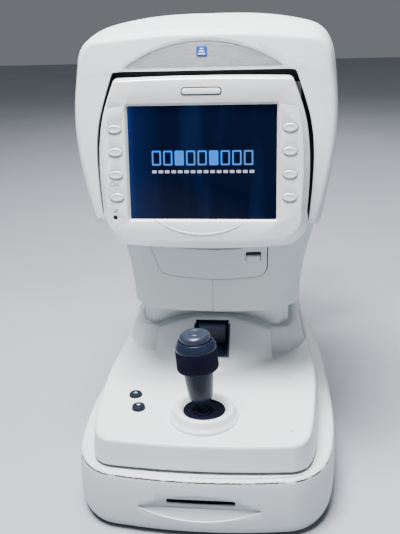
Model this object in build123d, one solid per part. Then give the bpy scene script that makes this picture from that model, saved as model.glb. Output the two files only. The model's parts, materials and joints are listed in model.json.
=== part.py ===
"""Table-top automatic refractor and keratometer, one STEP file for each separate piece.

Millimetres. +Z is up, +Y runs from the operator to the patient, +X is the operator's right.
The origin is on the table, under the middle of the instrument's footprint.
The head, the stage and the joystick are drawn at the middle of the stage's travel.
"""
import os
from math import cos, degrees, hypot, pi, sin, tan

from build123d import *

os.makedirs("parts", exist_ok=True)

# ---------------------------------------------------------------- driving dimensions
WALL = 3.0                      # moulded covers
GAP = 0.5                       # seams between covers

FOOT_HEIGHT = 6.0
BASE_FRONT, BASE_REAR = -247.0, 226.0
BASE_TOP = 61.5
BASE_BOTTOM = 4.0

X_RAIL_R, X_RAIL_Z, X_RAIL_Y = 5.0, 24.0, 78.0
RAIL_END = 106.5                    # half the length of the rails that run across
Y_RAIL_R, Y_RAIL_Z, Y_RAIL_X = 4.0, 43.0, 40.0
RUNNING = 0.05                      # radial clearance of a shaft in its bush

STAGE_BOTTOM = 64.5
CHASSIS_TOP = 72.0
LEDGE_Z = 130.0                     # top of the turret's shoulders
NECK_TOP = 181.0

STICK_X, STICK_Y, STICK_Z = 1.0, -186.0, 74.0   # crossing of the joystick's two axes
STICK_TILT = -3.8                   # stored lean about +Y
COLLAR_TOP = 103.8
COLLAR_HOLE_R = 19.6
DISC_Z = 98.6                       # middle of the sliding dust disc

LEAN = degrees(0.112)               # hood and display lean back
HOOD_ORIGIN = (0, -118, 369)
BEZEL_ORIGIN = (0, -141, 330)
SCREEN_W, SCREEN_H = 136.5, 103.4
HEAD_TOP = 458.0
HEAD_REAR = 105.0
HOOD_BOTTOM = 267.0
HOOD_REAR = 20.0
EYE_Z = 345.0                       # measuring axis

CASING_BOTTOM, CASING_TOP = 152.0, 264.5
DOOR_HINGE_Y, DOOR_HINGE_Z = -68.2, 189.8   # on the casing's skin, under the door's lowest edge

FRAME_Y, FRAME_DEPTH = 206.0, 26.0  # face frame's middle plane and its depth
CHIN_Z = 240.0
CUP_REAR = 247.0                    # the patient's end of the chin cup


# ---------------------------------------------------------------- small helpers
def save(name, *pieces):
    """Write one node; a node may hold several separate solids."""
    solids = [s for p in pieces for s in p.solids()]
    shape = solids[0] if len(solids) == 1 else Compound(children=solids)
    export_step(shape, f"parts/{name}.step")


def block(x0, x1, y0, y1, z0, z1):
    """Box given by its opposite corners."""
    return Pos((x0 + x1) / 2, (y0 + y1) / 2, (z0 + z1) / 2) * Box(x1 - x0, y1 - y0, z1 - z0)


def soft_block(x0, x1, y0, y1, z0, z1, radius, axis=Axis.Z):
    """Box whose edges along one axis are rounded."""
    solid = block(x0, x1, y0, y1, z0, z1)
    return fillet(solid.edges().filter_by(axis), radius)


def rod_x(x0, x1, y, z, r):
    return Pos((x0 + x1) / 2, y, z) * Rot(0, 90, 0) * Cylinder(r, x1 - x0)


def rod_y(x, y0, y1, z, r):
    return Pos(x, (y0 + y1) / 2, z) * Rot(90, 0, 0) * Cylinder(r, y1 - y0)


def rod_z(x, y, z0, z1, r):
    return Pos(x, y, (z0 + z1) / 2) * Cylinder(r, z1 - z0)


def inset(half, amount):
    """Move a right-hand half outline inwards along its own normals."""
    moved = []
    last = len(half) - 1
    for i, (x, y) in enumerate(half):
        ax, ay = half[i - 1] if i > 0 else (-half[1][0], half[1][1])
        bx, by = half[i + 1] if i < last else (-half[last - 1][0], half[last - 1][1])
        length = hypot(bx - ax, by - ay)
        moved.append((x - amount * (by - ay) / length, y + amount * (bx - ax) / length))
    return [(0, moved[0][1])] + moved[1:-1] + [(0, moved[-1][1])]


def arc_direction(end, middle_y):
    """Direction of travel, at its right-hand end, of an arc that crosses x = 0 at middle_y."""
    x, y = end
    centre = (x * x + y * y - middle_y * middle_y) / (2 * (y - middle_y))
    length = hypot(x, y - centre)
    sign = 1 if centre > y else -1
    return (-sign * (y - centre) / length, sign * x / length)


def smooth_outline(half, place):
    """Two end arcs and two side splines that leave them smoothly; place maps (x, y) to 3-D."""
    front, side, rear = half[0], half[1:-1], half[-1]
    fx, fy = arc_direction(side[0], front[1])
    rx, ry = arc_direction(side[-1], rear[1])
    origin = place(0, 0)
    right = [place(x, y) for x, y in side]
    leave, arrive = place(fx, fy) - origin, place(-rx, -ry) - origin
    edge = Spline(*right, tangents=[leave, arrive], tangent_scalars=[1, 1])
    first, last = side[0], side[-1]
    return [ThreePointArc(place(-first[0], first[1]), place(*front), right[0]), edge,
            ThreePointArc(right[-1], place(*rear), place(-last[0], last[1])), mirror(edge, about=Plane.YZ)]


def plan_face(half, z, amount=0.0):
    """Horizontal face inside a smooth closed outline."""
    return make_face(smooth_outline(inset(half, amount), lambda x, y: Vector(x, y, z)))


def arch_face(half, plane, floor, amount=0.0):
    """Upright face: a smooth arch over a straight floor, drawn in a plane's own x and y."""
    right = [(x - amount * x / (abs(x) + 25.0), v - amount * (1 if x < 100 else 0.35)) for x, v in half]
    arch = [(-x, v) for x, v in reversed(right[1:])] + right
    arch = [(arch[0][0], floor)] + arch[1:-1] + [(arch[-1][0], floor)]
    points = [plane.from_local_coords(Vector(x, v, 0)) for x, v in arch]
    return make_face([Spline(*points), Line(points[-1], points[0])])


def turned(profile, x, y, z=0.0):
    """Body of revolution about an upright axis from (radius, height) corners."""
    outline = Polyline(*[(r, 0, h) for r, h in profile], close=True)
    return Pos(x, y, z) * revolve(make_face(outline), Axis.Z)


# ---------------------------------------------------------------- fixed base
BASE_HALF = [(0, BASE_FRONT), (84, -240), (105, -229), (119, -208), (126.5, -175), (129.8, -130),
             (129.6, -85), (127, -25), (120, 62), (110, 125), (100, 178), (91, 208), (72, 222),
             (0, BASE_REAR)]
NECK_WINDOW = block(-62, 62, -88, 88, BASE_TOP - 10, BASE_TOP + 10)
EYE_RECESS_DEPTH = 5.0
SLOT_X, SLOT_Z, SLOT_W, SLOT_H = 1.5, 36.0, 64.0, 4.8
INLET_X, INLET_Z = -45.0, 30.0

# height and how far the outline is drawn in there
BASE_SIDE = [(BASE_BOTTOM, 4.0), (14, 0.6), (30, 0.0), (48, 0.6), (59.5, 1.8)]
housing = loft([plan_face(BASE_HALF, z, drawn_in) for z, drawn_in in BASE_SIDE])
housing += loft([plan_face(BASE_HALF, 59.5, 1.8), plan_face(BASE_HALF, BASE_TOP, 3.8)], ruled=True)
housing -= extrude(plan_face(BASE_HALF, BASE_BOTTOM - 1, WALL + 4.0), 58 - BASE_BOTTOM + 1)
housing -= NECK_WINDOW
upper_lid = ThreePointArc((-57.5, 30.5), (0, 46), (57.5, 30.5))
lower_lid = ThreePointArc((57.5, 30.5), (0, 19), (-57.5, 30.5))
eye = make_face([upper_lid, lower_lid])
eye_plane = Plane(origin=(0, BASE_FRONT - 5, 0), x_dir=(1, 0, 0), z_dir=(0, -1, 0))
eye_cut = extrude(eye_plane * eye, -(5 + EYE_RECESS_DEPTH))
eye_floor = extrude(eye_plane * offset(eye, 4.0), -(5 + EYE_RECESS_DEPTH + WALL))
inner_space = extrude(plan_face(BASE_HALF, BASE_BOTTOM + 2, 3.0), 50)
housing += (eye_floor & inner_space) - block(-90, 90, BASE_FRONT + EYE_RECESS_DEPTH + WALL, 0, 0, 60)
housing -= eye_cut
housing -= soft_block(SLOT_X - 39, SLOT_X + 39, -260, -220, SLOT_Z - 6.4, SLOT_Z + 6.4, 5.0, Axis.Y)
housing -= soft_block(INLET_X - 30.4, INLET_X + 30.4, 200, 240, INLET_Z - 14.4, INLET_Z + 14.4, 3.0, Axis.Y)
save("base_housing", housing)

bottom = extrude(plan_face(BASE_HALF, FOOT_HEIGHT, WALL + 4.4), 3)
for x in (-RAIL_END + 4, RAIL_END - 4):
    for y in (-X_RAIL_Y, X_RAIL_Y):
        bottom += block(x - 4, x + 4, y - 11, y + 11, FOOT_HEIGHT + 2, X_RAIL_Z + 6.5)
        bottom -= rod_x(x - 5, x + 5, y, X_RAIL_Z, X_RAIL_R + 0.02)
MOUNT_X, MOUNT_Y, MOUNT_R = 80.0, 160.0, 2.5
for x in (-MOUNT_X, MOUNT_X):
    for y in (-MOUNT_Y, MOUNT_Y):
        bottom += rod_z(x, y, 8, 21, 7)
        bottom -= rod_z(x, y, 5, 19, MOUNT_R)
SCREW_SPOTS = [(x, y) for x in (-94, 94) for y in (-170, -20, 120)]
for x, y in SCREW_SPOTS:
    bottom -= rod_z(x, y, 5, 10, 2.2)
save("bottom_plate", bottom)

FEET = [(-86, -192), (86, -192), (-72, 188), (72, 188)]
save("rubber_feet", *[rod_z(x, y, 0, FOOT_HEIGHT, 13) for x, y in FEET])
screw_profile = [(0, 4.2), (4, 4.2), (4, 6), (2, 6), (2, 24), (0, 24)]
save("cover_screws", *[turned(screw_profile, x, y) for x, y in SCREW_SPOTS])
save("x_rails", *[rod_x(-RAIL_END, RAIL_END, y, X_RAIL_Z, X_RAIL_R) for y in (-X_RAIL_Y, X_RAIL_Y)])

supply = soft_block(-60, 60, 118, 168, 12, 46, 3)
save("power_supply", supply)

inlet = soft_block(INLET_X - 30, INLET_X + 30, 205, 224.5, INLET_Z - 14, INLET_Z + 14, 3, Axis.Y)
inlet -= soft_block(INLET_X - 25, INLET_X + 1, 212, 230, INLET_Z - 9, INLET_Z + 9, 2, Axis.Y)
inlet += rod_y(INLET_X - 12, 210, 220, INLET_Z + 4.5, 2)
for pin in (-19, -5):
    inlet += rod_y(INLET_X + pin, 210, 220, INLET_Z - 3.5, 2)
inlet -= block(INLET_X + 9, INLET_X + 25, 212, 230, INLET_Z - 11, INLET_Z + 11)
save("power_inlet", inlet)
rocker = rod_x(INLET_X + 9.6, INLET_X + 24.4, 216.5, INLET_Z, 3.2)
rocker_side = make_face(Polyline((0, -10), (6.5, -8.5), (6.0, 0), (7.5, 8.5), (3, 10), close=True))
rocker_plane = Plane(origin=(INLET_X + 9.6, 216.5, INLET_Z), x_dir=(0, 1, 0), z_dir=(1, 0, 0))
rocker += extrude(rocker_plane * rocker_side, 14.8)
save("power_switch", rocker)

reader = block(SLOT_X - 40, SLOT_X + 40, -237.8, -170, SLOT_Z - 9, SLOT_Z + 13)
reader += soft_block(SLOT_X - 38.5, SLOT_X + 38.5, -244.6, -237.8, SLOT_Z - 6, SLOT_Z + 6, 4.6, Axis.Y)
slot_x0, slot_z0 = SLOT_X - SLOT_W / 2, SLOT_Z - SLOT_H / 2
reader -= block(slot_x0, slot_x0 + SLOT_W, -250, -180, slot_z0, slot_z0 + SLOT_H)
save("card_reader", reader)

# ---------------------------------------------------------------- sliding stage, from the rails up
carriage = block(-56, 56, -90, 90, 31, 34.5)
carriage -= block(-30, 30, -60, 60, 30, 36)
for y in (-X_RAIL_Y, X_RAIL_Y):
    for x in (-42, 42):
        carriage += block(x - 13, x + 13, y - 11, y + 11, 15, 31)
        carriage -= rod_x(x - 14, x + 14, y, X_RAIL_Z, 8)
for x in (-Y_RAIL_X, Y_RAIL_X):
    for y in (-86, 86):
        carriage += block(x - 8, x + 8, y - 4, y + 4, 34, 50)
        carriage -= rod_y(x, y - 5, y + 5, Y_RAIL_Z, Y_RAIL_R + 0.02)
save("x_carriage", carriage)
save("x_bushes", *[rod_x(x - 13, x + 13, y, X_RAIL_Z, 8)
                   - rod_x(x - 14, x + 14, y, X_RAIL_Z, X_RAIL_R + RUNNING)
                   for x in (-42, 42) for y in (-X_RAIL_Y, X_RAIL_Y)])
save("y_rails", *[rod_y(x, -90, 90, Y_RAIL_Z, Y_RAIL_R) for x in (-Y_RAIL_X, Y_RAIL_X)])

saddle = block(-52, 52, -60, 60, 50.5, 54.5) + block(-17, 17, -60, 60, 54, 68)
for x in (-Y_RAIL_X, Y_RAIL_X):
    for y in (-48, 48):
        saddle += block(x - 10, x + 10, y - 12, y + 12, 36, 51)
        saddle -= rod_y(x, y - 13, y + 13, Y_RAIL_Z, 6.5)
save("saddle", saddle)
save("y_bushes", *[rod_y(x, y - 12, y + 12, Y_RAIL_Z, 6.5)
                   - rod_y(x, y - 13, y + 13, Y_RAIL_Z, Y_RAIL_R + RUNNING)
                   for x in (-Y_RAIL_X, Y_RAIL_X) for y in (-48, 48)])

chassis = soft_block(-88, 88, -214, 66, 68, CHASSIS_TOP, 12)
chassis -= rod_z(STICK_X, STICK_Y, 60, 80, 18.5)
for side in (-1, 1):
    chassis += block(STICK_X + side * 22.5 - 3, STICK_X + side * 22.5 + 3, STICK_Y - 6, STICK_Y + 6, 71, 80)
chassis -= rod_x(STICK_X - 26, STICK_X + 26, STICK_Y, STICK_Z, 2.5 + RUNNING)
save("stage_chassis", chassis)

# The cover: a low shell that sweeps up towards the turret, and the neck that the head slides over.
STAGE_LOW = [(0, -235), (84, -230), (98, -222), (105, -206), (110, -165), (113.5, -110), (112, -50),
             (108, 10), (102, 58), (88, 80), (66, 85.5), (0, 87)]
STAGE_HIGH = [(0, -229.5), (82, -225.5), (93, -219), (99, -203), (103, -165), (105.5, -110), (101, -50),
              (95, 10), (90, 56), (78, 75), (58, 79.5), (0, 81)]
STAGE_MAX_Z = 130.0
# depth and height of the top surface along its middle
SURFACE = [(-260, 88.5), (-229, 91), (-186, 95), (-120, 97.5), (-76, 101), (-45, 105), (-5, 112), (40, 119),
           (100, 125)]


def stage_shell(t):
    """Low part of the stage cover, moved inwards by t."""
    wall = loft([plan_face(STAGE_LOW, STAGE_BOTTOM - (1 if t else 0), t),
                 plan_face(STAGE_HIGH, STAGE_MAX_Z, t)], ruled=True)
    top = [Vector(-150, y, z - t) for y, z in SURFACE]
    side = make_face([Spline(*top), Polyline(top[-1], (-150, 100, 50), (-150, -260, 50), top[0])])
    return wall & extrude(side, 300, dir=(1, 0, 0))


def turret_section(z, t):
    """Shoulders: a broad block whose front corners are set back."""
    spread = (LEDGE_Z - z) * 0.35
    w, c, f = 93 + spread - t, 62, 67 + spread - t
    points = [(-w, 60 - t), (-w, -40 - spread + t), (-80, -f + 4), (-c, -f), (c, -f), (80, -f + 4),
              (w, -40 - spread + t), (w, 60 - t)]
    return make_face(Polyline(*[(x, y, z) for x, y in points], close=True))


def bulge(t):
    """Bowed centre panel that carries the lock lever's recess; its top edge is an arch."""
    def section(half, side, middle, z):
        left, right = (-half, side, z), (half, side, z)
        sides = Polyline(right, (half, -20, z), (-half, -20, z), left)
        return make_face([ThreePointArc(left, (0, middle, z), right), sides])
    body = loft([section(65 - t, -70 + t, -115 + t, 92), section(61 - t, -51 + t, -58 + t, 146)], ruled=True)
    arch = make_face([ThreePointArc((-66, 128 - t), (0, 144 - t), (66, 128 - t)),
                      Polyline((66, 128 - t), (66, 80), (-66, 80), (-66, 128 - t))])
    return body & extrude(Plane(origin=(0, -10, 0), x_dir=(1, 0, 0), z_dir=(0, -1, 0)) * arch, 120)


def neck_section(t):
    points = [(-81 + t, 46 - t), (-81 + t, -38 + t * 0.6), (-70 + t * 0.6, -50 + t), (70 - t * 0.6, -50 + t),
              (81 - t, -38 + t * 0.6), (81 - t, 46 - t)]
    return make_face(Polyline(*[(x, y, 90) for x, y in points], close=True))


turret = loft([turret_section(85, 0), turret_section(LEDGE_Z, 0)], ruled=True)
turret_void = loft([turret_section(60, WALL), turret_section(LEDGE_Z - WALL, WALL)], ruled=True)
cover = stage_shell(0) + turret + bulge(0) + extrude(neck_section(0), NECK_TOP - 90)
cover -= stage_shell(WALL) + turret_void + bulge(WALL)
cover -= extrude(neck_section(WALL), NECK_TOP - 80)
cover -= block(-72, 72, -66, 45, 60, 92)
collar = [(16, 86), (33, 86), (31.5, 95.5), (30.6, 99), (28.5, 102), (25.5, COLLAR_TOP), (16, COLLAR_TOP)]
cover += turned(collar, STICK_X, STICK_Y)
cover -= turned([(0, 80), (28, 80), (28, 99.9), (COLLAR_HOLE_R + 1, 101), (COLLAR_HOLE_R, 101.2),
                 (COLLAR_HOLE_R, 101.8), (22.2, 105), (0, 105)], STICK_X, STICK_Y)
LEVER_X, LEVER_W = -1.7, 36.0
LEVER_AXIS_Y, LEVER_AXIS_Z = -60.0, 134.0
RECESS_BACK = -54.0
lever_x0, lever_x1 = LEVER_X - LEVER_W / 2, LEVER_X + LEVER_W / 2
recess_liner = block(lever_x0 - 2, lever_x1 + 2, -100, RECESS_BACK + 2, 111, 143)
cover += recess_liner & bulge(0)
cover -= block(lever_x0, lever_x1, -130, RECESS_BACK, 113, 140.5)
CHIN_KEYS = [(-72.0, -155.0), (-64.7, -178.6)]
KEY_R = 6.4
for x, y in CHIN_KEYS:
    cover -= rod_z(x, y, 85, 110, KEY_R + 0.4)
save("stage_cover", cover)

lever = rod_x(LEVER_X - 12, LEVER_X + 12, LEVER_AXIS_Y, LEVER_AXIS_Z, 4)
lever += soft_block(LEVER_X - 12, LEVER_X + 12, LEVER_AXIS_Y - 9, LEVER_AXIS_Y - 2, 115, LEVER_AXIS_Z + 3,
                    3.4, Axis.X)
lever += rod_x(lever_x0 + 0.4, lever_x1 - 0.4, LEVER_AXIS_Y, LEVER_AXIS_Z, 1.5)
save("lock_lever", lever)
chin_key = [(0, 88), (KEY_R + 1.2, 88), (KEY_R + 1.2, 90), (KEY_R, 90), (KEY_R, 97.6), (KEY_R - 1.6, 99.4),
            (0, 100)]
for name, (x, y) in zip(("chin_up_key", "chin_down_key"), CHIN_KEYS):
    save(name, turned(chin_key, x, y))

COLUMN_X, COLUMN_Y = 52.0, 18.0
save("lift_columns", *[rod_z(x, COLUMN_Y, CHASSIS_TOP, 232, 7) for x in (-COLUMN_X, COLUMN_X)])
motor = soft_block(-21, 21, COLUMN_Y - 21, COLUMN_Y + 21, CHASSIS_TOP, 112, 5)
motor += rod_z(0, COLUMN_Y, 112, 114, 11)
save("lift_motor", motor)
screw = rod_z(0, COLUMN_Y, 114.3, 226, 5) + rod_z(0, COLUMN_Y, 115, 121, 8)
save("lift_screw", screw)

# ---------------------------------------------------------------- joystick, drawn upright and then leaned
RING_LOW, RING_HIGH = 145.4, 165.6


def leaned(solid):
    """Lean an upright joystick piece about the crossing of its axes."""
    return Pos(STICK_X, STICK_Y, STICK_Z) * Rot(0, STICK_TILT, 0) * Pos(0, 0, -STICK_Z) * solid


ring = turned([(12, 71), (17, 71), (17, 77), (12, 77)], STICK_X, STICK_Y)
ring += rod_x(STICK_X - 25, STICK_X - 16, STICK_Y, STICK_Z, 2.5)
ring += rod_x(STICK_X + 16, STICK_X + 25, STICK_Y, STICK_Z, 2.5)
ring -= rod_y(STICK_X, STICK_Y - 18, STICK_Y + 18, STICK_Z, 2.0 + RUNNING)
save("gimbal_ring", ring)

rod = rod_z(0, 0, 68, 170, 5.3) + Pos(0, 0, 69) * Sphere(6.0) + rod_y(0, -16.5, 16.5, STICK_Z, 2.0)
save("stick_rod", leaned(rod))
grip_profile = [(5.3, 107), (6.6, 107), (9.8, 112.5), (12.2, 120), (13.4, 132), (13.8, 144), (13.8, 145),
                (11, 145), (11, 166), (19.2, 166), (19.2, 169), (16.3, 174.5), (15.2, 174.5), (15.2, 171),
                (5.3, 171)]
save("stick_grip", leaned(turned(grip_profile, 0, 0)))
knurled = turned([(11.4, RING_LOW), (18.6, RING_LOW), (19.8, RING_LOW + 1.5), (19.8, RING_HIGH - 1),
                  (19.2, RING_HIGH), (11.4, RING_HIGH)], 0, 0)
save("height_ring", leaned(knurled))
button = [(0, 173.2), (14.4, 173.2), (14.4, 178.6), (12.2, 181.2), (6.2, 181.6), (6.0, 181.1), (0, 181.3)]
save("start_button", leaned(turned(button, 0, 0)))
DISC_X = STICK_X + (DISC_Z - STICK_Z) * tan(STICK_TILT * pi / 180)
grommet = [(7.0, 97.2), (9.4, 97.2), (9.4, 99.4), (8.4, 100.8), (7.0, 100.8)]
save("dust_grommet", turned(grommet, DISC_X, STICK_Y))
save("dust_disc", turned([(10.4, 97.8), (23.4, 97.8), (23.4, 98.6), (10.4, 99.8)], DISC_X, STICK_Y))

# ---------------------------------------------------------------- head: lower casing
# height, half-width of the sides, half-width of the front panel
CASING = [(CASING_BOTTOM, 92.5, 70), (176, 94, 74), (197, 96.8, 77.5), (218, 101.5, 80.5), (233, 105.5, 83),
          (250, 111, 88), (CASING_TOP, 116.5, 93)]
CASING_FRONT, CASING_REAR = -68.0, 66.0


def casing_section(z, w, c, t):
    """Eight-sided plan with a bowed front panel and bevelled corners."""
    front, corner, rear = CASING_FRONT + t, -58 + t, CASING_REAR - t
    points = [(c - t * 0.5, corner), (w - t, -34 + t * 0.5), (w - t, 40 - t * 0.5), (w - 24, rear)]
    right = [(x, y, z) for x, y in points]
    left = [(-x, y, z) for x, y in reversed(points)]
    bow = ThreePointArc(left[-1], (0, front, z), right[0])
    return make_face([bow, Polyline(*(right + left))])


def casing_solid(t):
    low, high = (CASING_BOTTOM - 1, CASING_TOP + 1) if t else (CASING_BOTTOM, CASING_TOP)
    rows = [(low,) + CASING[0][1:]] + CASING[1:-1] + [(high,) + CASING[-1][1:]]
    return loft([casing_section(z, w, c, t) for z, w, c in rows], ruled=True)


casing_shell = casing_solid(0) - casing_solid(WALL)
casing_shell += (casing_solid(1.0) & block(-130, 130, -100, 100, CASING_TOP - 3, CASING_TOP)) - block(
    -86, 86, -48, 58, 200, 300)
front_plane = Plane(origin=(0, CASING_FRONT - 20, 0), x_dir=(1, 0, 0), z_dir=(0, -1, 0))
door_outline = make_face([Polyline((-70, 247), (-68, 229), (-63, 214), (-59, 202)),
                          ThreePointArc((-59, 202), (-56.5, 196.5), (-51, 194)),
                          ThreePointArc((-51, 194), (0, 190), (45, 192)),
                          ThreePointArc((45, 192), (54, 195), (57.5, 203)),
                          Polyline((57.5, 203), (58.2, 247), (-70, 247))])
door_prism = extrude(front_plane * door_outline, -45)
door_hole = extrude(front_plane * offset(door_outline, 0.5), -45)
casing_front = casing_shell - door_hole
half_left = block(-200, -0.2, -200, 200, 100, 400)
half_right = block(0.2, 200, -200, 200, 100, 400)
save("casing_left", casing_front & half_left)
save("casing_right", casing_front & half_right)

door = (casing_solid(0) - casing_solid(WALL)) & door_prism
door -= block(-39, 30, -90, -50, 223, 260)
door -= soft_block(35.4, 51.6, -90, -50, 209, 221, 2.0, Axis.Y)
for x in (-40, 36):
    arm = rod_x(x - 3, x + 3, DOOR_HINGE_Y, DOOR_HINGE_Z, 13)
    arm -= rod_x(x - 4, x + 4, DOOR_HINGE_Y, DOOR_HINGE_Z, 9.5)
    quarter = block(x - 4, x + 4, DOOR_HINGE_Y + 4.6, DOOR_HINGE_Y + 20, DOOR_HINGE_Z + 1, DOOR_HINGE_Z + 20)
    door += arm & quarter
save("printer_door", door)
save("door_latch", soft_block(36.2, 50.8, -69.0, -63.5, 209.6, 216.2, 1.4, Axis.X))

printer = block(-58, 52, -44, -2, 198, 201) + block(-58, 52, -5, -2, 198, 242)
for x in (-58, 49):
    printer += block(x, x + 3, -44, -2, 198, 242)
printer -= rod_x(-60, 60, -25, 221, 4 + RUNNING)
printer -= rod_x(-60, 60, -38, 236, 2.5 + RUNNING)
printer += block(-54, 48, -46, -43, 226, 231)
printer += block(-56, -54, -46, -40, 226, 231) + block(48, 50, -46, -40, 226, 231)
save("printer_frame", printer)
save("paper_roll", rod_x(-53, 47, -25, 221, 14.4) + rod_x(-58, 52, -25, 221, 4))
save("platen_roller", rod_x(-53, 47, -38, 236, 5) + rod_x(-58, 52, -38, 236, 2.5))

# ---------------------------------------------------------------- head: hood and rear cover
COS_LEAN, SIN_LEAN = cos(LEAN * pi / 180), sin(LEAN * pi / 180)
hood_plane = Plane(origin=HOOD_ORIGIN, x_dir=(1, 0, 0), z_dir=(0, -COS_LEAN, SIN_LEAN))


def upright(y):
    return Plane(origin=(0, y, 0), x_dir=(1, 0, 0), z_dir=(0, -1, 0))


def on_hood(points):
    """Turn (x, height) on the leaning face into the plane's own coordinates."""
    return [(x, (z - HOOD_ORIGIN[2]) / COS_LEAN) for x, z in points]


RIM = [(0, 444.5), (52, 443.3), (92, 440), (107, 437), (114, 429), (118, 411), (121.5, 385), (122.3, 356),
       (119.7, 330), (115.3, 305), (110, 282), (105.5, HOOD_BOTTOM)]
CROWN = [(0, HEAD_TOP), (55, 456.3), (92, 450.5), (109, 444), (119, 430), (123.5, 408), (125, 380),
         (124.6, 354), (123, 328), (121, 304), (118.5, 284), (117, HOOD_BOTTOM)]
SHOULDER = [(x * 0.975, z - 1.5 if z > 400 else z) for x, z in CROWN]
BACK_MID = [(x * 0.90, z - 10 if z > 400 else z) for x, z in CROWN]
BACK_END = [(x * 0.70, EYE_Z + (z - EYE_Z) * 0.72) for x, z in CROWN]


def hood_solid(t):
    floor = HOOD_BOTTOM - (4 if t else 0)
    front = arch_face(on_hood(RIM), hood_plane, on_hood([(0, floor)])[0][1], t)
    middle = arch_face(CROWN, upright(-28), floor, t)
    rear = arch_face(SHOULDER, upright(HOOD_REAR), floor, t)
    return loft([front, middle, rear])


def back_solid(t):
    end_y = HEAD_REAR - t
    sections = [arch_face(SHOULDER, upright(HOOD_REAR), HOOD_BOTTOM, t),
                arch_face(BACK_MID, upright(75), HOOD_BOTTOM, t),
                arch_face(BACK_END, upright(end_y), EYE_Z + (HOOD_BOTTOM - EYE_Z) * 0.72, t)]
    return loft(sections)


side = Spline((85.5, 407.5), (92, 389), (98, 369), (101.5, 347), (102, 324), (100.3, 294), (97, 262))
opening = make_face([Polyline((-85.5, 407.5), (-80, 409.8), (80, 409.8), (85.5, 407.5)), side,
                     Line((97, 262), (-97, 262)), mirror(side, about=Plane.YZ)])
opening_cut = extrude(upright(-150) * opening, -52)
BADGE_LOW, BADGE_HIGH, BADGE_HALF = 412.8, 434.4, 73.0


def badge_face(grow):
    half, low = BADGE_HALF + grow * 2.2, BADGE_LOW - grow
    left, right = (-half, low), (half, low)
    arch = ThreePointArc(left, (0, BADGE_HIGH + grow), right)
    return make_face([arch, Line(right, left)])


def on_hood_face(face, depth):
    """Prism from the hood's face backwards, of an outline given in x and height."""
    stretched = scale(face, (1, 1 / COS_LEAN, 1))
    return extrude(hood_plane * Pos(0, -HOOD_ORIGIN[2] / COS_LEAN) * stretched, -depth)


hood = hood_solid(0)
hood_wall = hood & extrude(hood_plane * Rectangle(300, 300), -4.5)
hood -= hood_solid(WALL)
hood += hood_wall
hood -= opening_cut
hood -= on_hood_face(badge_face(2.4), 3.0)
hood -= block(-130, 130, -150, 40, HOOD_BOTTOM - 20, HOOD_BOTTOM)
save("hood", hood)
badge = on_hood_face(badge_face(0), 3.0) - on_hood_face(badge_face(8), 0.8)
save("badge_plate", badge)

back = back_solid(0) - back_solid(WALL)
back += (back_solid(0) & block(-130, 130, HEAD_REAR - 8, HEAD_REAR + 1, 200, 460))
back -= block(-130, 130, 0, HOOD_REAR + GAP, 200, 500) + block(-130, 130, 0, 120, 200, HOOD_BOTTOM)
back -= rod_y(0, 60, 120, EYE_Z, 47)
save("rear_cover", back)

window = turned([(31, 0), (46.6, 0), (46.6, 9), (50, 9), (50, 11.5), (44, 11.5), (36, 4), (31, 4)], 0, 0)
save("window_bezel", Pos(0, HEAD_REAR - 9, EYE_Z) * Rot(-90, 0, 0) * window)
mire = turned([(24, 0), (30.5, 0), (30.5, 6), (24, 6)], 0, 0)
save("mire_ring", Pos(0, HEAD_REAR - 12, EYE_Z) * Rot(-90, 0, 0) * mire)
lens = Sphere(42) & Pos(0, 0, 50.5) * Box(100, 100, 25) & Cylinder(20, 100)
save("objective_lens", Pos(0, HEAD_REAR - 51, EYE_Z) * Rot(-90, 0, 0) * lens)
barrel = rod_y(0, -60, 84, EYE_Z, 23) - rod_y(0, 60, 86, EYE_Z, 19.5)
barrel += block(-30, 30, -66, -20, EYE_Z - 30, EYE_Z + 30) + block(-14, 14, -40, 60, EYE_Z - 36, EYE_Z - 20)
save("optical_barrel", barrel)

frame = soft_block(-80, 80, -46, 48, 189, 193, 8)
for x in (-COLUMN_X, COLUMN_X):
    frame += rod_z(x, COLUMN_Y, 187.5, 226, 11)
    frame -= rod_z(x, COLUMN_Y, 180, 240, 7 + RUNNING)
frame += rod_z(0, COLUMN_Y, 187.5, 206, 10)
frame -= rod_z(0, COLUMN_Y, 180, 240, 5 + RUNNING)
for x in (-76, 72):
    frame += block(x, x + 4, -40, 50, 192, EYE_Z - 36)
frame += block(-76, 76, -40, 50, EYE_Z - 40, EYE_Z - 36)
frame += block(-90, 90, -88, -85, 285, 396) + block(-76, 76, -86, -40, EYE_Z - 40, EYE_Z - 36)

# ---------------------------------------------------------------- tilting display
bezel_plane = Plane(origin=BEZEL_ORIGIN, x_dir=(1, 0, 0), z_dir=hood_plane.z_dir)


def on_bezel(points):
    return [(x, (z - BEZEL_ORIGIN[2]) / COS_LEAN) for x, z in points]


FACE = [(0, 407), (75, 406), (80.5, 402), (85, 389), (89, 372), (91.9, 348), (92.6, 322), (90.7, 286),
        (86.8, 269), (75, 261.4), (0, 257.8)]
SKIRT = [(0, 410), (78, 409), (84.5, 404), (89, 390), (94.3, 372), (98, 348), (98.7, 322), (96.3, 284),
         (91.5, 261.5), (78, 252.6), (0, 249)]


def display_block(x, z, w, h, near, far):
    """Prism through the display, near and far measured behind the bezel's face."""
    v = (z - BEZEL_ORIGIN[2]) / COS_LEAN
    return bezel_plane.location * Pos(x, v, -(near + far) / 2) * Box(w, h, far - near)


SCREEN_Z = 330.0
BEZEL_DEPTH = 22.0


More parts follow.
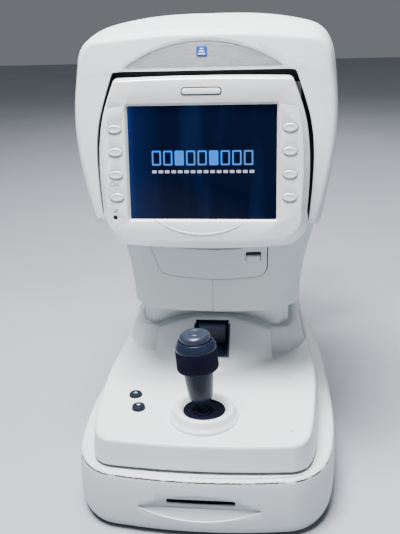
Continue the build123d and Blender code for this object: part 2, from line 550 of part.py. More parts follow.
def closed_outline(points, depth, amount=0.0):
    """Outline of the display at a depth behind its face."""
    half = inset([(x, -v) for x, v in on_bezel(points)], amount)
    origin = bezel_plane.from_local_coords(Vector(0, 0, -depth))
    plane = Plane(origin=origin, x_dir=(1, 0, 0), z_dir=hood_plane.z_dir)
    right = [plane.from_local_coords(Vector(x, -v, 0)) for x, v in half]
    left = [plane.from_local_coords(Vector(-x, -v, 0)) for x, v in half]
    side = Spline(*right[2:8])
    corner = ThreePointArc(right[7], right[8], right[9])
    return make_face([ThreePointArc(left[1], right[0], right[1]), Line(right[1], right[2]), side, corner,
                      ThreePointArc(right[9], right[10], left[9]), mirror(corner, about=Plane.YZ),
                      mirror(side, about=Plane.YZ), Line(left[2], left[1])])


bezel = loft([closed_outline(FACE, 0), closed_outline(SKIRT, 12)], ruled=True)
bezel += loft([closed_outline(SKIRT, 12), closed_outline(SKIRT, BEZEL_DEPTH, 1.0)], ruled=True)
bezel -= loft([closed_outline(FACE, 3.0, 2.6), closed_outline(SKIRT, 12, 3.0)], ruled=True)
bezel -= extrude(closed_outline(SKIRT, 11.9, 3.2), -BEZEL_DEPTH)
bezel -= display_block(0, SCREEN_Z, SCREEN_W, SCREEN_H, -2, 6)
KEY_W, KEY_H = 13.4, 7.6
KEYS = [(side, row, side * 80.0, 361.3 - 20.7 * row) for side in (-1, 1) for row in range(4)]


def oval(x, z, grow, near, far):
    v = (z - BEZEL_ORIGIN[2]) / COS_LEAN
    face = Ellipse(KEY_W / 2 + grow, KEY_H / 2 + grow)
    return bezel_plane.location * Pos(x, v, -far) * extrude(face, far - near)


for side, row, x, z in KEYS:
    bezel -= oval(x, z, 0.35, -2, 6)
bezel -= bezel_plane.location * Pos(-82.0, (281 - BEZEL_ORIGIN[2]) / COS_LEAN, 0) * Cylinder(2.3, 12)
save("display_bezel", bezel)
for side, row, x, z in KEYS:
    place = "left" if side < 0 else "right"
    save(f"{place}_key_{row + 1}", oval(x, z, 0.0, -1.4, 3.6) + oval(x, z, 1.2, 3.6, 4.6))
panel = display_block(0, SCREEN_Z, 143, 110, 4.0, 12.0) - display_block(0, SCREEN_Z, 137.4, 104.4, 3, 5.0)
save("lcd_module", panel)
back_panel = extrude(closed_outline(SKIRT, BEZEL_DEPTH - 3, 3.6), -3)
HINGE_DEPTH, HINGE_Z = 27.0, 399.0
hinge_point = bezel_plane.from_local_coords(Vector(0, (HINGE_Z - BEZEL_ORIGIN[2]) / COS_LEAN, -HINGE_DEPTH))
for x in (-60, 60):
    back_panel += Pos(x, hinge_point.Y, hinge_point.Z) * Rot(0, 90, 0) * Cylinder(4, 12)
    back_panel += Pos(x, hinge_point.Y - 3, hinge_point.Z) * Box(12, 6, 8)
    back_panel -= Pos(x, hinge_point.Y, hinge_point.Z) * Rot(0, 90, 0) * Cylinder(2.0 + RUNNING, 14)
for x in (-70, -50, 50, 70):
    back_panel -= display_block(x, HINGE_Z + 4, 7, 24, BEZEL_DEPTH - 4, BEZEL_DEPTH + 1)
save("display_back", back_panel)
for x in (-60, 60):
    yoke = Pos(x, hinge_point.Y, hinge_point.Z) * Rot(0, 90, 0) * Cylinder(2.0, 26)
    for ear in (x - 10, x + 10):
        yoke += block(ear - 3, ear + 3, hinge_point.Y - 4, -86, hinge_point.Z - 5, hinge_point.Z + 5)
    yoke += block(x - 13, x + 13, -88, -85, 390, hinge_point.Z + 5)
    frame += yoke
save("head_frame", frame)

# ---------------------------------------------------------------- patient side
LEG_LOW = BASE_TOP + 0.2
frame_points = [(76, LEG_LOW), (76, 235), (84, 275), (99, 312), (102, 345), (100, 385), (86, 415), (50, 429),
                (0, 432)]
arch_path = [(-x, z) for x, z in frame_points] + [(x, z) for x, z in reversed(frame_points[:-1])]
FRAME_TUBE_W = 22.0


def frame_outline(amount):
    """Outline of the face frame's loop, moved outwards by an amount."""
    pts = []
    n = len(arch_path)
    for i, (x, z) in enumerate(arch_path):
        ax, az = arch_path[max(i - 1, 0)]
        bx, bz = arch_path[min(i + 1, n - 1)]
        length = hypot(bx - ax, bz - az)
        pts.append((x - amount * (bz - az) / length, z + amount * (bx - ax) / length))
    return pts


outer, inner = frame_outline(FRAME_TUBE_W / 2), frame_outline(-FRAME_TUBE_W / 2)
frame_plane = upright(FRAME_Y - FRAME_DEPTH / 2)
loop = make_face([Line(outer[0], outer[1]), Spline(*outer[1:-1]), Line(outer[-2], outer[-1]),
                  Line(outer[-1], inner[-1]), Line(inner[-1], inner[-2]), Spline(*inner[1:-1][::-1]),
                  Line(inner[1], inner[0]), Line(inner[0], outer[0])])
face_frame = extrude(frame_plane * loop, -FRAME_DEPTH)

chin_box = soft_block(-64.4, 64.4, FRAME_Y - 13, FRAME_Y + 13, BASE_TOP + 0.2, 190, 4, Axis.Z)
chin_box -= rod_z(0, FRAME_Y, 96, 200, 9.5)
save("chin_rest_housing", chin_box)
chin_screw = rod_z(0, FRAME_Y, 97, 198, 3.0) + rod_z(0, FRAME_Y, 97, 104, 8.0)
save("chin_screw", chin_screw)
chin = rod_z(0, FRAME_Y, 196 - 60, CHIN_Z - 8, 8.5) - rod_z(0, FRAME_Y, 120, 230, 3.0 + RUNNING)
cup = soft_block(-36, 36, FRAME_Y - 20, CUP_REAR, CHIN_Z - 9, CHIN_Z + 7, 14)
cup -= Pos(0, CUP_REAR, CHIN_Z + 26) * Rot(90, 0, 0) * Cylinder(30, 120)
save("chin_rest", chin + cup)


def bowed_strip(half, side_y, middle_y, thick, z):
    """Horizontal strip between two arcs, bowed away from the forehead."""
    front, rear = side_y - thick, middle_y - thick
    return make_face([ThreePointArc((-half, side_y, z), (0, middle_y, z), (half, side_y, z)),
                      Line((half, side_y, z), (half, front, z)),
                      ThreePointArc((half, front, z), (0, rear, z), (-half, front, z)),
                      Line((-half, front, z), (-half, side_y, z))])


band = bowed_strip(94, FRAME_Y + 15.4, FRAME_Y - 1, 4.0, 380)
save("face_frame", face_frame + extrude(band, 27))
pad = bowed_strip(70, FRAME_Y + 17.4, FRAME_Y + 8.3, 9.0, 381)
save("forehead_pad", extrude(pad, 25))
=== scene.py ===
"""Looks of a table-top refractor and keratometer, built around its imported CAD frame.

Lengths inside the shape code are millimetres in the CAD frame; MM turns them into metres.
"""
import json
import math

import bmesh
import bpy
import numpy as np
from mathutils import Matrix, Vector


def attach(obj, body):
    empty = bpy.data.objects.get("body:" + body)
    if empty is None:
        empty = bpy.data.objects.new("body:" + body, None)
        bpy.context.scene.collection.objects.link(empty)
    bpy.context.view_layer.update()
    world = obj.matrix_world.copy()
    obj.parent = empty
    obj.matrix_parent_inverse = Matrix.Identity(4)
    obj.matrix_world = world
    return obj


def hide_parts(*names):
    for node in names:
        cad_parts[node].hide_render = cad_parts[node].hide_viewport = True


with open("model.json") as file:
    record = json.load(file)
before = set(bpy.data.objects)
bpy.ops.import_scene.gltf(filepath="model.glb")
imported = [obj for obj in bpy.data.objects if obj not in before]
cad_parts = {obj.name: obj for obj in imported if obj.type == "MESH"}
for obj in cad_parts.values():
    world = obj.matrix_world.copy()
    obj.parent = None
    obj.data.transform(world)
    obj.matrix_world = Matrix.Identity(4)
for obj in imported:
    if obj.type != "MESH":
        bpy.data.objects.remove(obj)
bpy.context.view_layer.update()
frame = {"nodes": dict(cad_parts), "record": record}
NODES = frame["nodes"]
MM = 0.001
WINDOW_Z = 345                   # height of the measuring axis
SLOT_X, SLOT_Z = 1.5, 36         # middle of the card slot
LEAN = 0.112                     # the hood's face and the display lean back, radians
COS_L, SIN_L = math.cos(LEAN), math.sin(LEAN)


# ------------------------------------------------------------------ camera, light and floor
def make_camera():
    """Camera to the operator's right, looking down at the instrument."""
    pitch, yaw, roll = math.radians(19.655), math.radians(6.895), math.radians(-1.743)
    look = Vector((-math.sin(yaw) * math.cos(pitch), math.cos(yaw) * math.cos(pitch), -math.sin(pitch)))
    level = Vector((math.cos(yaw), math.sin(yaw), 0))
    over = level.cross(look)
    right = math.cos(roll) * level + math.sin(roll) * over
    up = -math.sin(roll) * level + math.cos(roll) * over
    data = bpy.data.cameras.new("camera")
    data.lens, data.sensor_width = 49.04, 36.0
    data.clip_start, data.clip_end = 0.01, 60.0
    cam = bpy.data.objects.new("camera", data)
    bpy.context.scene.collection.objects.link(cam)
    turn = Matrix((right, up, -look)).transposed().to_4x4()
    cam.matrix_world = Matrix.Translation((0.07443, -0.79283, 0.46424)) @ turn
    bpy.context.scene.camera = cam


def soft_light(name, where, target, size, power, tint=(1, 1, 1)):
    data = bpy.data.lights.new(name, "AREA")
    data.shape, data.size, data.energy, data.color = "SQUARE", size, power, tint
    lamp = bpy.data.objects.new(name, data)
    bpy.context.scene.collection.objects.link(lamp)
    lamp.location = where
    lamp.rotation_mode = "QUATERNION"
    lamp.rotation_quaternion = (Vector(target) - Vector(where)).to_track_quat("-Z", "Y")


def make_studio():
    """Pale floor, pale surroundings and three large soft lamps."""
    world = bpy.data.worlds.new("studio")
    world.use_nodes = True
    world.node_tree.nodes["Background"].inputs["Color"].default_value = (0.80, 0.84, 0.90, 1)
    world.node_tree.nodes["Background"].inputs["Strength"].default_value = 0.20
    bpy.context.scene.world = world
    soft_light("key_light", (-0.17, -0.40, 1.60), (0, -0.1, 0.2), 0.6, 88)
    soft_light("fill_light", (1.5, -1.3, 1.1), (0, 0, 0.2), 1.4, 3, (0.95, 0.97, 1))
    soft_light("back_light", (0.2, 1.5, 1.8), (0, 0, 0.3), 1.4, 30)
    mesh = bpy.data.meshes.new("floor")
    s = 6.0
    mesh.from_pydata([(-s, -s, 0), (s, -s, 0), (s, s, 0), (-s, s, 0)], [], [(0, 1, 2, 3)])
    floor = bpy.data.objects.new("floor", mesh)
    bpy.context.scene.collection.objects.link(floor)
    floor.data.materials.append(plain_floor())


# ------------------------------------------------------------------ materials
class Nodes:
    """Short way to write a node material."""

    def __init__(self, name, material=None):
        self.material = material or bpy.data.materials.new(name)
        self.material.use_nodes = True
        self.tree = self.material.node_tree
        self.shader = self.tree.nodes["Principled BSDF"]
        self.place = self.add("ShaderNodeTexCoord").outputs["Object"]

    def add(self, kind, **values):
        node = self.tree.nodes.new(kind)
        for key, value in values.items():
            setattr(node, key, value)
        return node

    def link(self, out, into):
        self.tree.links.new(out, into)

    def set(self, **values):
        for key, value in values.items():
            self.shader.inputs[key.replace("_", " ")].default_value = value

    def noise(self, scale, detail=3.0, rough=0.5, stretch=None):
        node = self.add("ShaderNodeTexNoise")
        node.inputs["Scale"].default_value = scale
        node.inputs["Detail"].default_value = detail
        node.inputs["Roughness"].default_value = rough
        source = self.place
        if stretch:
            mapping = self.add("ShaderNodeMapping")
            mapping.inputs["Scale"].default_value = stretch
            self.link(source, mapping.inputs["Vector"])
            source = mapping.outputs["Vector"]
        self.link(source, node.inputs["Vector"])
        return node.outputs["Fac"]

    def ramp(self, source, *stops):
        node = self.add("ShaderNodeValToRGB")
        node.color_ramp.elements[0].position, node.color_ramp.elements[0].color = stops[0]
        node.color_ramp.elements[1].position, node.color_ramp.elements[1].color = stops[-1]
        for position, color in stops[1:-1]:
            node.color_ramp.elements.new(position).color = color
        self.link(source, node.inputs["Fac"])
        return node.outputs["Color"]

    def math(self, operation, a, b):
        node = self.add("ShaderNodeMath", operation=operation)
        for socket, value in zip(node.inputs, (a, b)):
            if isinstance(value, (int, float)):
                socket.default_value = value
            else:
                self.link(value, socket)
        return node.outputs["Value"]

    def mix(self, factor, a, b, blend="MIX"):
        node = self.add("ShaderNodeMix", data_type="RGBA", blend_type=blend)
        for socket, value in zip((node.inputs[0], node.inputs[6], node.inputs[7]), (factor, a, b)):
            if isinstance(value, (int, float, tuple)):
                socket.default_value = value
            else:
                self.link(value, socket)
        return node.outputs[2]

    def bump(self, height, strength, distance):
        node = self.add("ShaderNodeBump")
        node.inputs["Strength"].default_value = strength
        node.inputs["Distance"].default_value = distance
        self.link(height, node.inputs["Height"])
        self.link(node.outputs["Normal"], self.shader.inputs["Normal"])


def rgba(color, k=1.0):
    return tuple(min(c * k, 1.0) for c in color[:3]) + (1.0,)


def moulded(name, color, rough=0.42, grain=0.25, mottle=0.035, scale=1400.0, soil=(0.93, 0.93, 0.90)):
    """Moulded plastic: fine spark-eroded grain, faint clouding and handling marks in the gloss."""
    n = Nodes(name)
    cloud = n.noise(9.0, 4.0, 0.55)
    base = n.ramp(cloud, (0.30, rgba(color, 1 - mottle)), (0.72, rgba(color, 1 + mottle * 0.6)))
    specks = n.noise(260.0, 2.0, 0.6)
    dusty = n.ramp(specks, (0.70, (0, 0, 0, 1)), (0.80, (1, 1, 1, 1)))
    shade = n.mix(n.math("MULTIPLY", dusty, 0.25), base, rgba([c * s for c, s in zip(color, soil)]))
    n.link(shade, n.shader.inputs["Base Color"])
    smear = n.noise(22.0, 3.0, 0.6, (1.0, 1.0, 2.2))
    n.link(n.math("ADD", n.math("MULTIPLY", smear, 0.16), rough - 0.08), n.shader.inputs["Roughness"])
    n.bump(n.noise(scale, 2.0, 0.5), grain, 0.00008)
    return n.material


def metallic_paint(name, color, rough=0.34):
    """Silver paint with fine flakes under a thin clear coat."""
    n = Nodes(name)
    flake = n.noise(2600.0, 1.0, 0.5)
    base = n.ramp(flake, (0.35, rgba(color, 0.86)), (0.68, rgba(color, 1.12)))
    cloud = n.ramp(n.noise(14.0, 3.0), (0.3, (0.95, 0.95, 0.96, 1)), (0.7, (1, 1, 1, 1)))
    n.link(n.mix(1.0, base, cloud, "MULTIPLY"), n.shader.inputs["Base Color"])
    n.set(Metallic=0.18, Coat_Weight=0.15, Coat_Roughness=0.3)
    n.link(n.math("ADD", n.math("MULTIPLY", n.noise(30.0, 3.0), 0.12), rough - 0.06),
           n.shader.inputs["Roughness"])
    n.bump(flake, 0.12, 0.00005)
    return n.material


def brushed(name, color, rough=0.30, along=(1.0, 60.0, 60.0), metallic=1.0):
    """Metal with fine parallel scratches; along is small in the brushing direction."""
    n = Nodes(name)
    lines = n.noise(45.0, 5.0, 0.7, along)
    fine = n.noise(160.0, 3.0, 0.6, along)
    both = n.math("ADD", n.math("MULTIPLY", lines, 0.6), n.math("MULTIPLY", fine, 0.4))
    base = n.ramp(both, (0.34, rgba(color, 0.80)), (0.62, rgba(color, 1.15)))
    n.link(base, n.shader.inputs["Base Color"])
    n.set(Metallic=metallic)
    n.link(n.math("ADD", n.math("MULTIPLY", both, 0.22), rough - 0.1), n.shader.inputs["Roughness"])
    n.bump(both, 0.18, 0.00008)
    return n.material


def machined(name, color, rough=0.36):
    """Turned or milled metal with faint tool marks."""
    n = Nodes(name)
    marks = n.noise(220.0, 4.0, 0.6, (1.0, 1.0, 6.0))
    base = n.ramp(marks, (0.35, rgba(color, 0.85)), (0.65, rgba(color, 1.1)))
    n.link(base, n.shader.inputs["Base Color"])
    n.set(Metallic=1.0)
    n.link(n.math("ADD", n.math("MULTIPLY", marks, 0.2), rough - 0.1), n.shader.inputs["Roughness"])
    n.bump(marks, 0.15, 0.0001)
    return n.material


def rubber(name, color, rough=0.62):
    n = Nodes(name)
    n.set(Specular_IOR_Level=0.18)
    grit = n.noise(900.0, 3.0, 0.6)
    cloud = n.noise(25.0, 3.0)
    base = n.ramp(cloud, (0.3, rgba(color, 0.8)), (0.7, rgba(color, 1.35)))
    n.link(base, n.shader.inputs["Base Color"])
    n.link(n.math("ADD", n.math("MULTIPLY", grit, 0.2), rough - 0.1), n.shader.inputs["Roughness"])
    n.bump(grit, 0.3, 0.0001)
    return n.material


def optical_glass(name, tint):
    n = Nodes(name)
    n.set(Base_Color=tint, Roughness=0.02, IOR=1.52, Coat_Weight=0.6, Coat_Roughness=0.02)
    n.set(Transmission_Weight=0.75)
    sheen = n.ramp(n.noise(6.0, 1.0), (0.3, rgba(tint, 0.7)), (0.7, rgba(tint, 1.2)))
    n.link(sheen, n.shader.inputs["Base Color"])
    return n.material


def plain_floor():
    n = Nodes("floor_paint")
    tone = n.ramp(n.noise(3.0, 2.0), (0.3, (0.33, 0.35, 0.39, 1)), (0.7, (0.36, 0.38, 0.42, 1)))
    n.link(tone, n.shader.inputs["Base Color"])
    n.set(Roughness=0.6)
    return n.material


# ------------------------------------------------------------------ curves, in millimetres
def c2_spline(points, start, end, count):
    """Smooth curve through points with unit end tangents; evenly spread along its length."""
    p = np.array(points, float)
    h = np.linalg.norm(np.diff(p, axis=0), axis=1)
    n = len(p)
    a, rhs = np.zeros((n, n)), np.zeros_like(p)
    a[0, 0] = a[-1, -1] = 1
    for row, tangent, i, j in ((0, start, 0, 1), (n - 1, end, n - 2, n - 1)):
        if tangent is None:
            a[row, row], a[row, j if row == 0 else i] = 2, 1
            rhs[row] = 3 * (p[j] - p[i]) / h[i]
        else:
            rhs[row] = tangent
    for i in range(1, n - 1):
        a[i, i - 1], a[i, i], a[i, i + 1] = h[i], 2 * (h[i - 1] + h[i]), h[i - 1]
        rhs[i] = 3 * (h[i] / h[i - 1] * (p[i] - p[i - 1]) + h[i - 1] / h[i] * (p[i + 1] - p[i]))
    m = np.linalg.solve(a, rhs)
    fine = []
    for i in range(n - 1):
        for t in np.linspace(0, 1, 24, endpoint=False):
            t2, t3 = t * t, t * t * t
            fine.append((2 * t3 - 3 * t2 + 1) * p[i] + (t3 - 2 * t2 + t) * h[i] * m[i]
                        + (3 * t2 - 2 * t3) * p[i + 1] + (t3 - t2) * h[i] * m[i + 1])
    return resample(np.array(fine + [p[-1]]), count)


def resample(line, count):
    """count points evenly spaced along a polyline, ends included."""
    line = np.asarray(line, float)
    step = np.r_[0, np.cumsum(np.linalg.norm(np.diff(line, axis=0), axis=1))]
    at = np.linspace(0, step[-1], count)
    return np.stack([np.interp(at, step, line[:, k]) for k in range(line.shape[1])], 1)


def arc3(a, b, c, count):
    """Arc from a through b to c."""
    a, b, c = (np.array(v, float) for v in (a, b, c))
    d = 2 * (a[0] * (b[1] - c[1]) + b[0] * (c[1] - a[1]) + c[0] * (a[1] - b[1]))
    aa, bb, cc = a @ a, b @ b, c @ c
    centre = np.array([(aa * (b[1] - c[1]) + bb * (c[1] - a[1]) + cc * (a[1] - b[1])) / d,
                       (aa * (c[0] - b[0]) + bb * (a[0] - c[0]) + cc * (b[0] - a[0])) / d])
    r = np.linalg.norm(a - centre)
    angles = [math.atan2(*(v - centre)[::-1]) for v in (a, b, c)]
    unwrapped = np.unwrap(angles)
    if (unwrapped[1] - unwrapped[0]) * (unwrapped[2] - unwrapped[1]) < 0:
        unwrapped[2] += 2 * math.pi * (1 if unwrapped[1] > unwrapped[0] else -1)
    t = np.linspace(unwrapped[0], unwrapped[2], count)
    return np.stack([centre[0] + r * np.cos(t), centre[1] + r * np.sin(t)], 1)


def rounded(corners, radii, per=7):
    """Polygon with its corners rounded; the same count of points whatever the sizes."""
    pts = [np.array(c, float) for c in corners]
    n, out = len(pts), []
    for i, p in enumerate(pts):
        before, after = pts[i - 1] - p, pts[(i + 1) % n] - p
        la, lb = np.linalg.norm(before), np.linalg.norm(after)
        before, after = before / la, after / lb
        half = math.acos(max(-1, min(1, before @ after))) / 2
        cut = min(radii[i] / math.tan(half), la * 0.49, lb * 0.49)
        for t in np.linspace(0, 1, per):
            a, b = p + before * cut, p + after * cut
            out.append((1 - t) ** 2 * a + 2 * t * (1 - t) * p + t * t * b)
    return np.array(out)


def rectangle(x0, x1, z0, z1, radius, per=7):
    """Rectangle with four equally rounded corners, anticlockwise from its lower left."""
    return rounded([(x0, z0), (x1, z0), (x1, z1), (x0, z1)], [radius] * 4, per)


def arc_direction(end, middle_y):
    x, y = end
    centre = (x * x + y * y - middle_y * middle_y) / (2 * (y - middle_y))
    length = math.hypot(x, y - centre)
    sign = 1 if centre > y else -1
    return (-sign * (y - centre) / length, sign * x / length)


def plan_outline(half, amount=0.0, front=60, side=110, rear=40):
    """Closed plan outline from its right-hand half: two arcs, two splines, anticlockwise from front left."""
    first, middle, last = half[0], half[1:-1], half[-1]
    fx, fy = arc_direction(middle[0], first[1])
    rx, ry = arc_direction(middle[-1], last[1])
    right = c2_spline(middle, np.array((fx, fy)), np.array((-rx, -ry)), side)
    nose = arc3((-middle[0][0], middle[0][1]), first, middle[0], front)
    tail = arc3(middle[-1], last, (-middle[-1][0], middle[-1][1]), rear)
    left = (right * (-1, 1))[::-1]
    line = np.concatenate([nose[:-1], right[:-1], tail[:-1], left[:-1]])
    return push(line, -amount) if amount else line


def push(line, amount):
    """Move a closed anticlockwise outline outwards along its normals."""
    ahead, behind = np.roll(line, -1, axis=0), np.roll(line, 1, axis=0)
    t = ahead - behind
    t /= np.linalg.norm(t, axis=1)[:, None]
    return line + amount * np.stack([t[:, 1], -t[:, 0]], 1)


def smooth_max(a, b, r):
    h = np.clip(0.5 + 0.5 * (a - b) / r, 0, 1)
    return b + (a - b) * h + r * h * (1 - h)


def smooth_min(a, b, r):
    return -smooth_max(-a, -b, r)


# ------------------------------------------------------------------ meshes
def new_object(name, mesh):
    piece = bpy.data.objects.new(name, mesh)
    bpy.context.scene.collection.objects.link(piece)
    return piece


def from_grid(name, rows, wrap_rows=False, wrap_columns=True, cap_ends=False):
    """Quad mesh from an array of points, rows by columns, in millimetres."""
    rows = np.asarray(rows, float)
    r, c = rows.shape[:2]
    faces = []
    for i in range(r if wrap_rows else r - 1):
        for j in range(c if wrap_columns else c - 1):
            a, b = i * c + j, i * c + (j + 1) % c
            d, e = (i + 1) % r * c + j, (i + 1) % r * c + (j + 1) % c
            faces.append((a, b, e, d))
    if cap_ends:
        faces.append(tuple(range(c))[::-1])
        faces.append(tuple((r - 1) * c + j for j in range(c)))
    mesh = bpy.data.meshes.new(name)
    mesh.from_pydata((rows.reshape(-1, 3) * MM).tolist(), [], faces)
    mesh.validate()
    return new_object(name, mesh)


def outward(piece):
    """Make every face of a closed piece look outwards."""
    bm = bmesh.new()
    bm.from_mesh(piece.data)
    bmesh.ops.recalc_face_normals(bm, faces=bm.faces)
    bm.to_mesh(piece.data)
    bm.free()
    return piece


def modify(piece, kind, **values):
    """Add a modifier, set it and apply it."""
    modifier = piece.modifiers.new(kind, kind)
    for key, value in values.items():
        setattr(modifier, key, value)
    depsgraph = bpy.context.evaluated_depsgraph_get()
    mesh = bpy.data.meshes.new_from_object(piece.evaluated_get(depsgraph))
    piece.modifiers.clear()
    old = piece.data
    mesh.name = old.name
    piece.data = mesh
    bpy.data.meshes.remove(old)
    return piece


def cut(piece, *cutters, keep="DIFFERENCE"):
    for cutter in cutters:
        modify(piece, "BOOLEAN", object=cutter, operation=keep, solver="MANIFOLD")
        bpy.data.objects.remove(cutter)
    return piece


def join(piece, *others):
    """Merge meshes into one object."""
    bm = bmesh.new()
    for one in (piece,) + others:
        bm.from_mesh(one.data)
    bm.to_mesh(piece.data)
    bm.free()
    for one in others:
        bpy.data.objects.remove(one)
    return piece


def soften(piece, width=0.5, segments=2, angle=40.0):
    """Round the sharp edges of a piece."""
    return modify(piece, "BEVEL", width=width * MM, segments=segments, limit_method="ANGLE",
                  angle_limit=math.radians(angle), harden_normals=False, use_clamp_overlap=True)


def finish_piece(piece, material, body, slot, *nodes, angle=35.0):
    """Shade, paint and mount a piece, and hide the imported parts that it stands for."""
    piece.data.shade_smooth()
    piece.data.set_sharp_from_angle(angle=math.radians(angle))
    piece.data.materials.clear()
    piece.data.materials.append(material)
    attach(piece, body)
    if nodes:
        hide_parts(*nodes)
    return piece


def prism(name, outline, place, near, far):
    """Closed prism; place maps an outline point and a depth to 3-D."""
    rows = [[place(x, y, d) for x, y in outline] for d in (near, far)]
    return outward(from_grid(name, rows, cap_ends=True))


def tapered(name, near_line, far_line, place, near, far):
    rows = [[place(x, y, d) for x, y in line] for line, d in ((near_line, near), (far_line, far))]
    return outward(from_grid(name, rows, cap_ends=True))


def upright(x, z, y):
    """Place a point of a front view at a depth."""
    return x, y, z


def sideways(y, z, x):
    """Place a point of a side view at a width."""
    return x, y, z


def flat(x, y, z):
    """Place a point of a plan view at a height."""
    return x, y, z


def box_mesh(name, x0, x1, y0, y1, z0, z1):
    ring = [(x0, y0), (x1, y0), (x1, y1), (x0, y1)]
    return prism(name, ring, flat, z0, z1)


def turned(name, profile, around, axis="Z", count=96, closed=False):
    """Surface of revolution from (radius, height) points; around is a point on its axis."""
    rows = []
    for radius, height in profile:
        ring = []
        for k in range(count):
            a = 2 * math.pi * k / count
            c, s = radius * math.cos(a), radius * math.sin(a)
            ring.append({"Z": (c, s, height), "Y": (c, height, s), "X": (height, c, s)}[axis])
        rows.append(ring)
    rows = np.array(rows) + np.array(around, float)
    return outward(from_grid(name, rows, wrap_rows=closed, cap_ends=not closed))


def fillet_profile(corners, radii, per=4):
    """(radius, height) corners with rounded bends, for turned()."""
    pts = [np.array(c, float) for c in corners]
    out = [pts[0]]
    for i in range(1, len(pts) - 1):
        p, r = pts[i], radii[i]
        before, after = pts[i - 1] - p, pts[i + 1] - p
        la, lb = np.linalg.norm(before), np.linalg.norm(after)
        if r <= 0:
            out.append(p)
            continue
        cutoff = min(r, la * 0.48, lb * 0.48)
        a, b = p + before / la * cutoff, p + after / lb * cutoff
        for t in np.linspace(0, 1, per):
            out.append((1 - t) ** 2 * a + 2 * t * (1 - t) * p + t * t * b)
    return [tuple(v) for v in out + [pts[-1]]]


# ------------------------------------------------------------------ leaning planes of the head
def on_hood(x, z, depth=0.0):
    """Point on the hood's leaning face, from x and height, pushed back by depth."""
    v = (z - 369.0) / COS_L
    return (x, -118.0 + v * SIN_L + depth * COS_L, 369.0 + v * COS_L - depth * SIN_L)


def on_bezel(x, z, depth=0.0):
    v = (z - 330.0) / COS_L
    return (x, -141.0 + v * SIN_L + depth * COS_L, 330.0 + v * COS_L - depth * SIN_L)


make_camera()
make_studio()

WHITE = moulded("housing_white", (0.735, 0.785, 0.795), rough=0.40)
GREY_WHITE = moulded("head_cover_white", (0.700, 0.745, 0.755), rough=0.42)
CASE_GREY = moulded("casing_grey_white", (0.700, 0.755, 0.755), rough=0.45)
SILVER = metallic_paint("bezel_silver_paint", (0.90, 0.905, 0.93))
KEY_SILVER = metallic_paint("key_silver_paint", (0.86, 0.86, 0.88), rough=0.30)
BRUSHED = brushed("brushed_badge", (0.66, 0.67, 0.71), rough=0.28, along=(1.0, 40.0, 40.0), metallic=0.8)
STICK_GREY = moulded("stick_grey", (0.008, 0.013, 0.029), rough=0.26, grain=0.15, mottle=0.10)
STICK_GREY.node_tree.nodes["Principled BSDF"].inputs["Specular IOR Level"].default_value = 0.22
STICK_DARK = rubber("stick_navy", (0.0008, 0.0012, 0.014), rough=0.60)
DARK_TRIM = moulded("dark_trim", (0.006, 0.018, 0.060), rough=0.42, grain=0.2, mottle=0.12)
KEY_RUBBER = rubber("key_rubber", (0.004, 0.008, 0.016), rough=0.5)
STEEL = machined("ground_steel", (0.62, 0.63, 0.65), rough=0.28)
BRONZE = machined("bronze", (0.62, 0.42, 0.20), rough=0.40)
CASTING = machined("machined_aluminium", (0.60, 0.61, 0.62), rough=0.42)
PLATE = moulded("powder_coat", (0.05, 0.055, 0.06), rough=0.55, grain=0.6, scale=700.0)
BLACK = moulded("black_plastic", (0.012, 0.012, 0.014), rough=0.45, grain=0.3)
CAN = moulded("black_paint", (0.02, 0.02, 0.024), rough=0.38, grain=0.2)
OPAL = moulded("opal_diffuser", (0.80, 0.80, 0.76), rough=0.35, grain=0.1)
LENS = optical_glass("coated_lens", (0.35, 0.42, 0.62, 1))
PAPER = rubber("thermal_paper", (0.80, 0.80, 0.77), rough=0.75)
ROLLER = rubber("roller_rubber", (0.02, 0.02, 0.02))
PAD = rubber("pad_silicone", (0.035, 0.045, 0.06), rough=0.55)
CUP = moulded("cup_white", (0.78, 0.79, 0.78), rough=0.25, grain=0.1)

BY_SLOT = {"housing": WHITE, "head_cover": GREY_WHITE, "bezel_silver": SILVER, "key_silver": KEY_SILVER,
           "badge": BRUSHED, "screen": BLACK, "stick_grey": STICK_GREY, "stick_dark": STICK_DARK,
           "dark_trim": DARK_TRIM, "rubber_key": KEY_RUBBER, "steel": STEEL, "bronze": BRONZE,
           "casting": CASTING, "base_plate": PLATE, "electrics": CAN, "black_plastic": BLACK,
           "window_black": BLACK, "mire": OPAL, "lens": LENS, "paper": PAPER, "roller": ROLLER,
           "pad": PAD, "cup": CUP}
SLOT_OF = {part["node"]: part["material_slot"] for part in frame["record"]["subparts"]}
for node_name, node in NODES.items():
    node.data.materials.clear()
    node.data.materials.append(BY_SLOT[SLOT_OF[node_name]])

# ------------------------------------------------------------------ fixed base
BASE_HALF = [(0, -247), (84, -240), (105, -229), (119, -208), (126.5, -175), (129.8, -130), (129.6, -85),
             (127, -25), (120, 62), (110, 125), (100, 178), (91, 208), (72, 222), (0, 226)]
# height and how far the outline is drawn in there: bottom lip, side, rounded rim
BASE_SIDE = [(5.2, 7.0), (4.2, 6.7), (4.0, 6.2), (4.0, 4.9), (4.3, 4.0), (6.5, 2.7), (10, 1.4), (14, 0.65),
             (20, 0.25),
             (30, 0.05), (39, 0.25), (48, 0.65), (54, 1.15), (57.5, 1.5), (58.8, 1.75), (59.6, 2.1),
             (60.3, 2.7),
             (60.9, 3.5), (61.25, 4.4), (61.4, 5.6), (61.45, 7.5), (61.5, 9.5), (61.5, 13.0), (61.5, 20.0)]


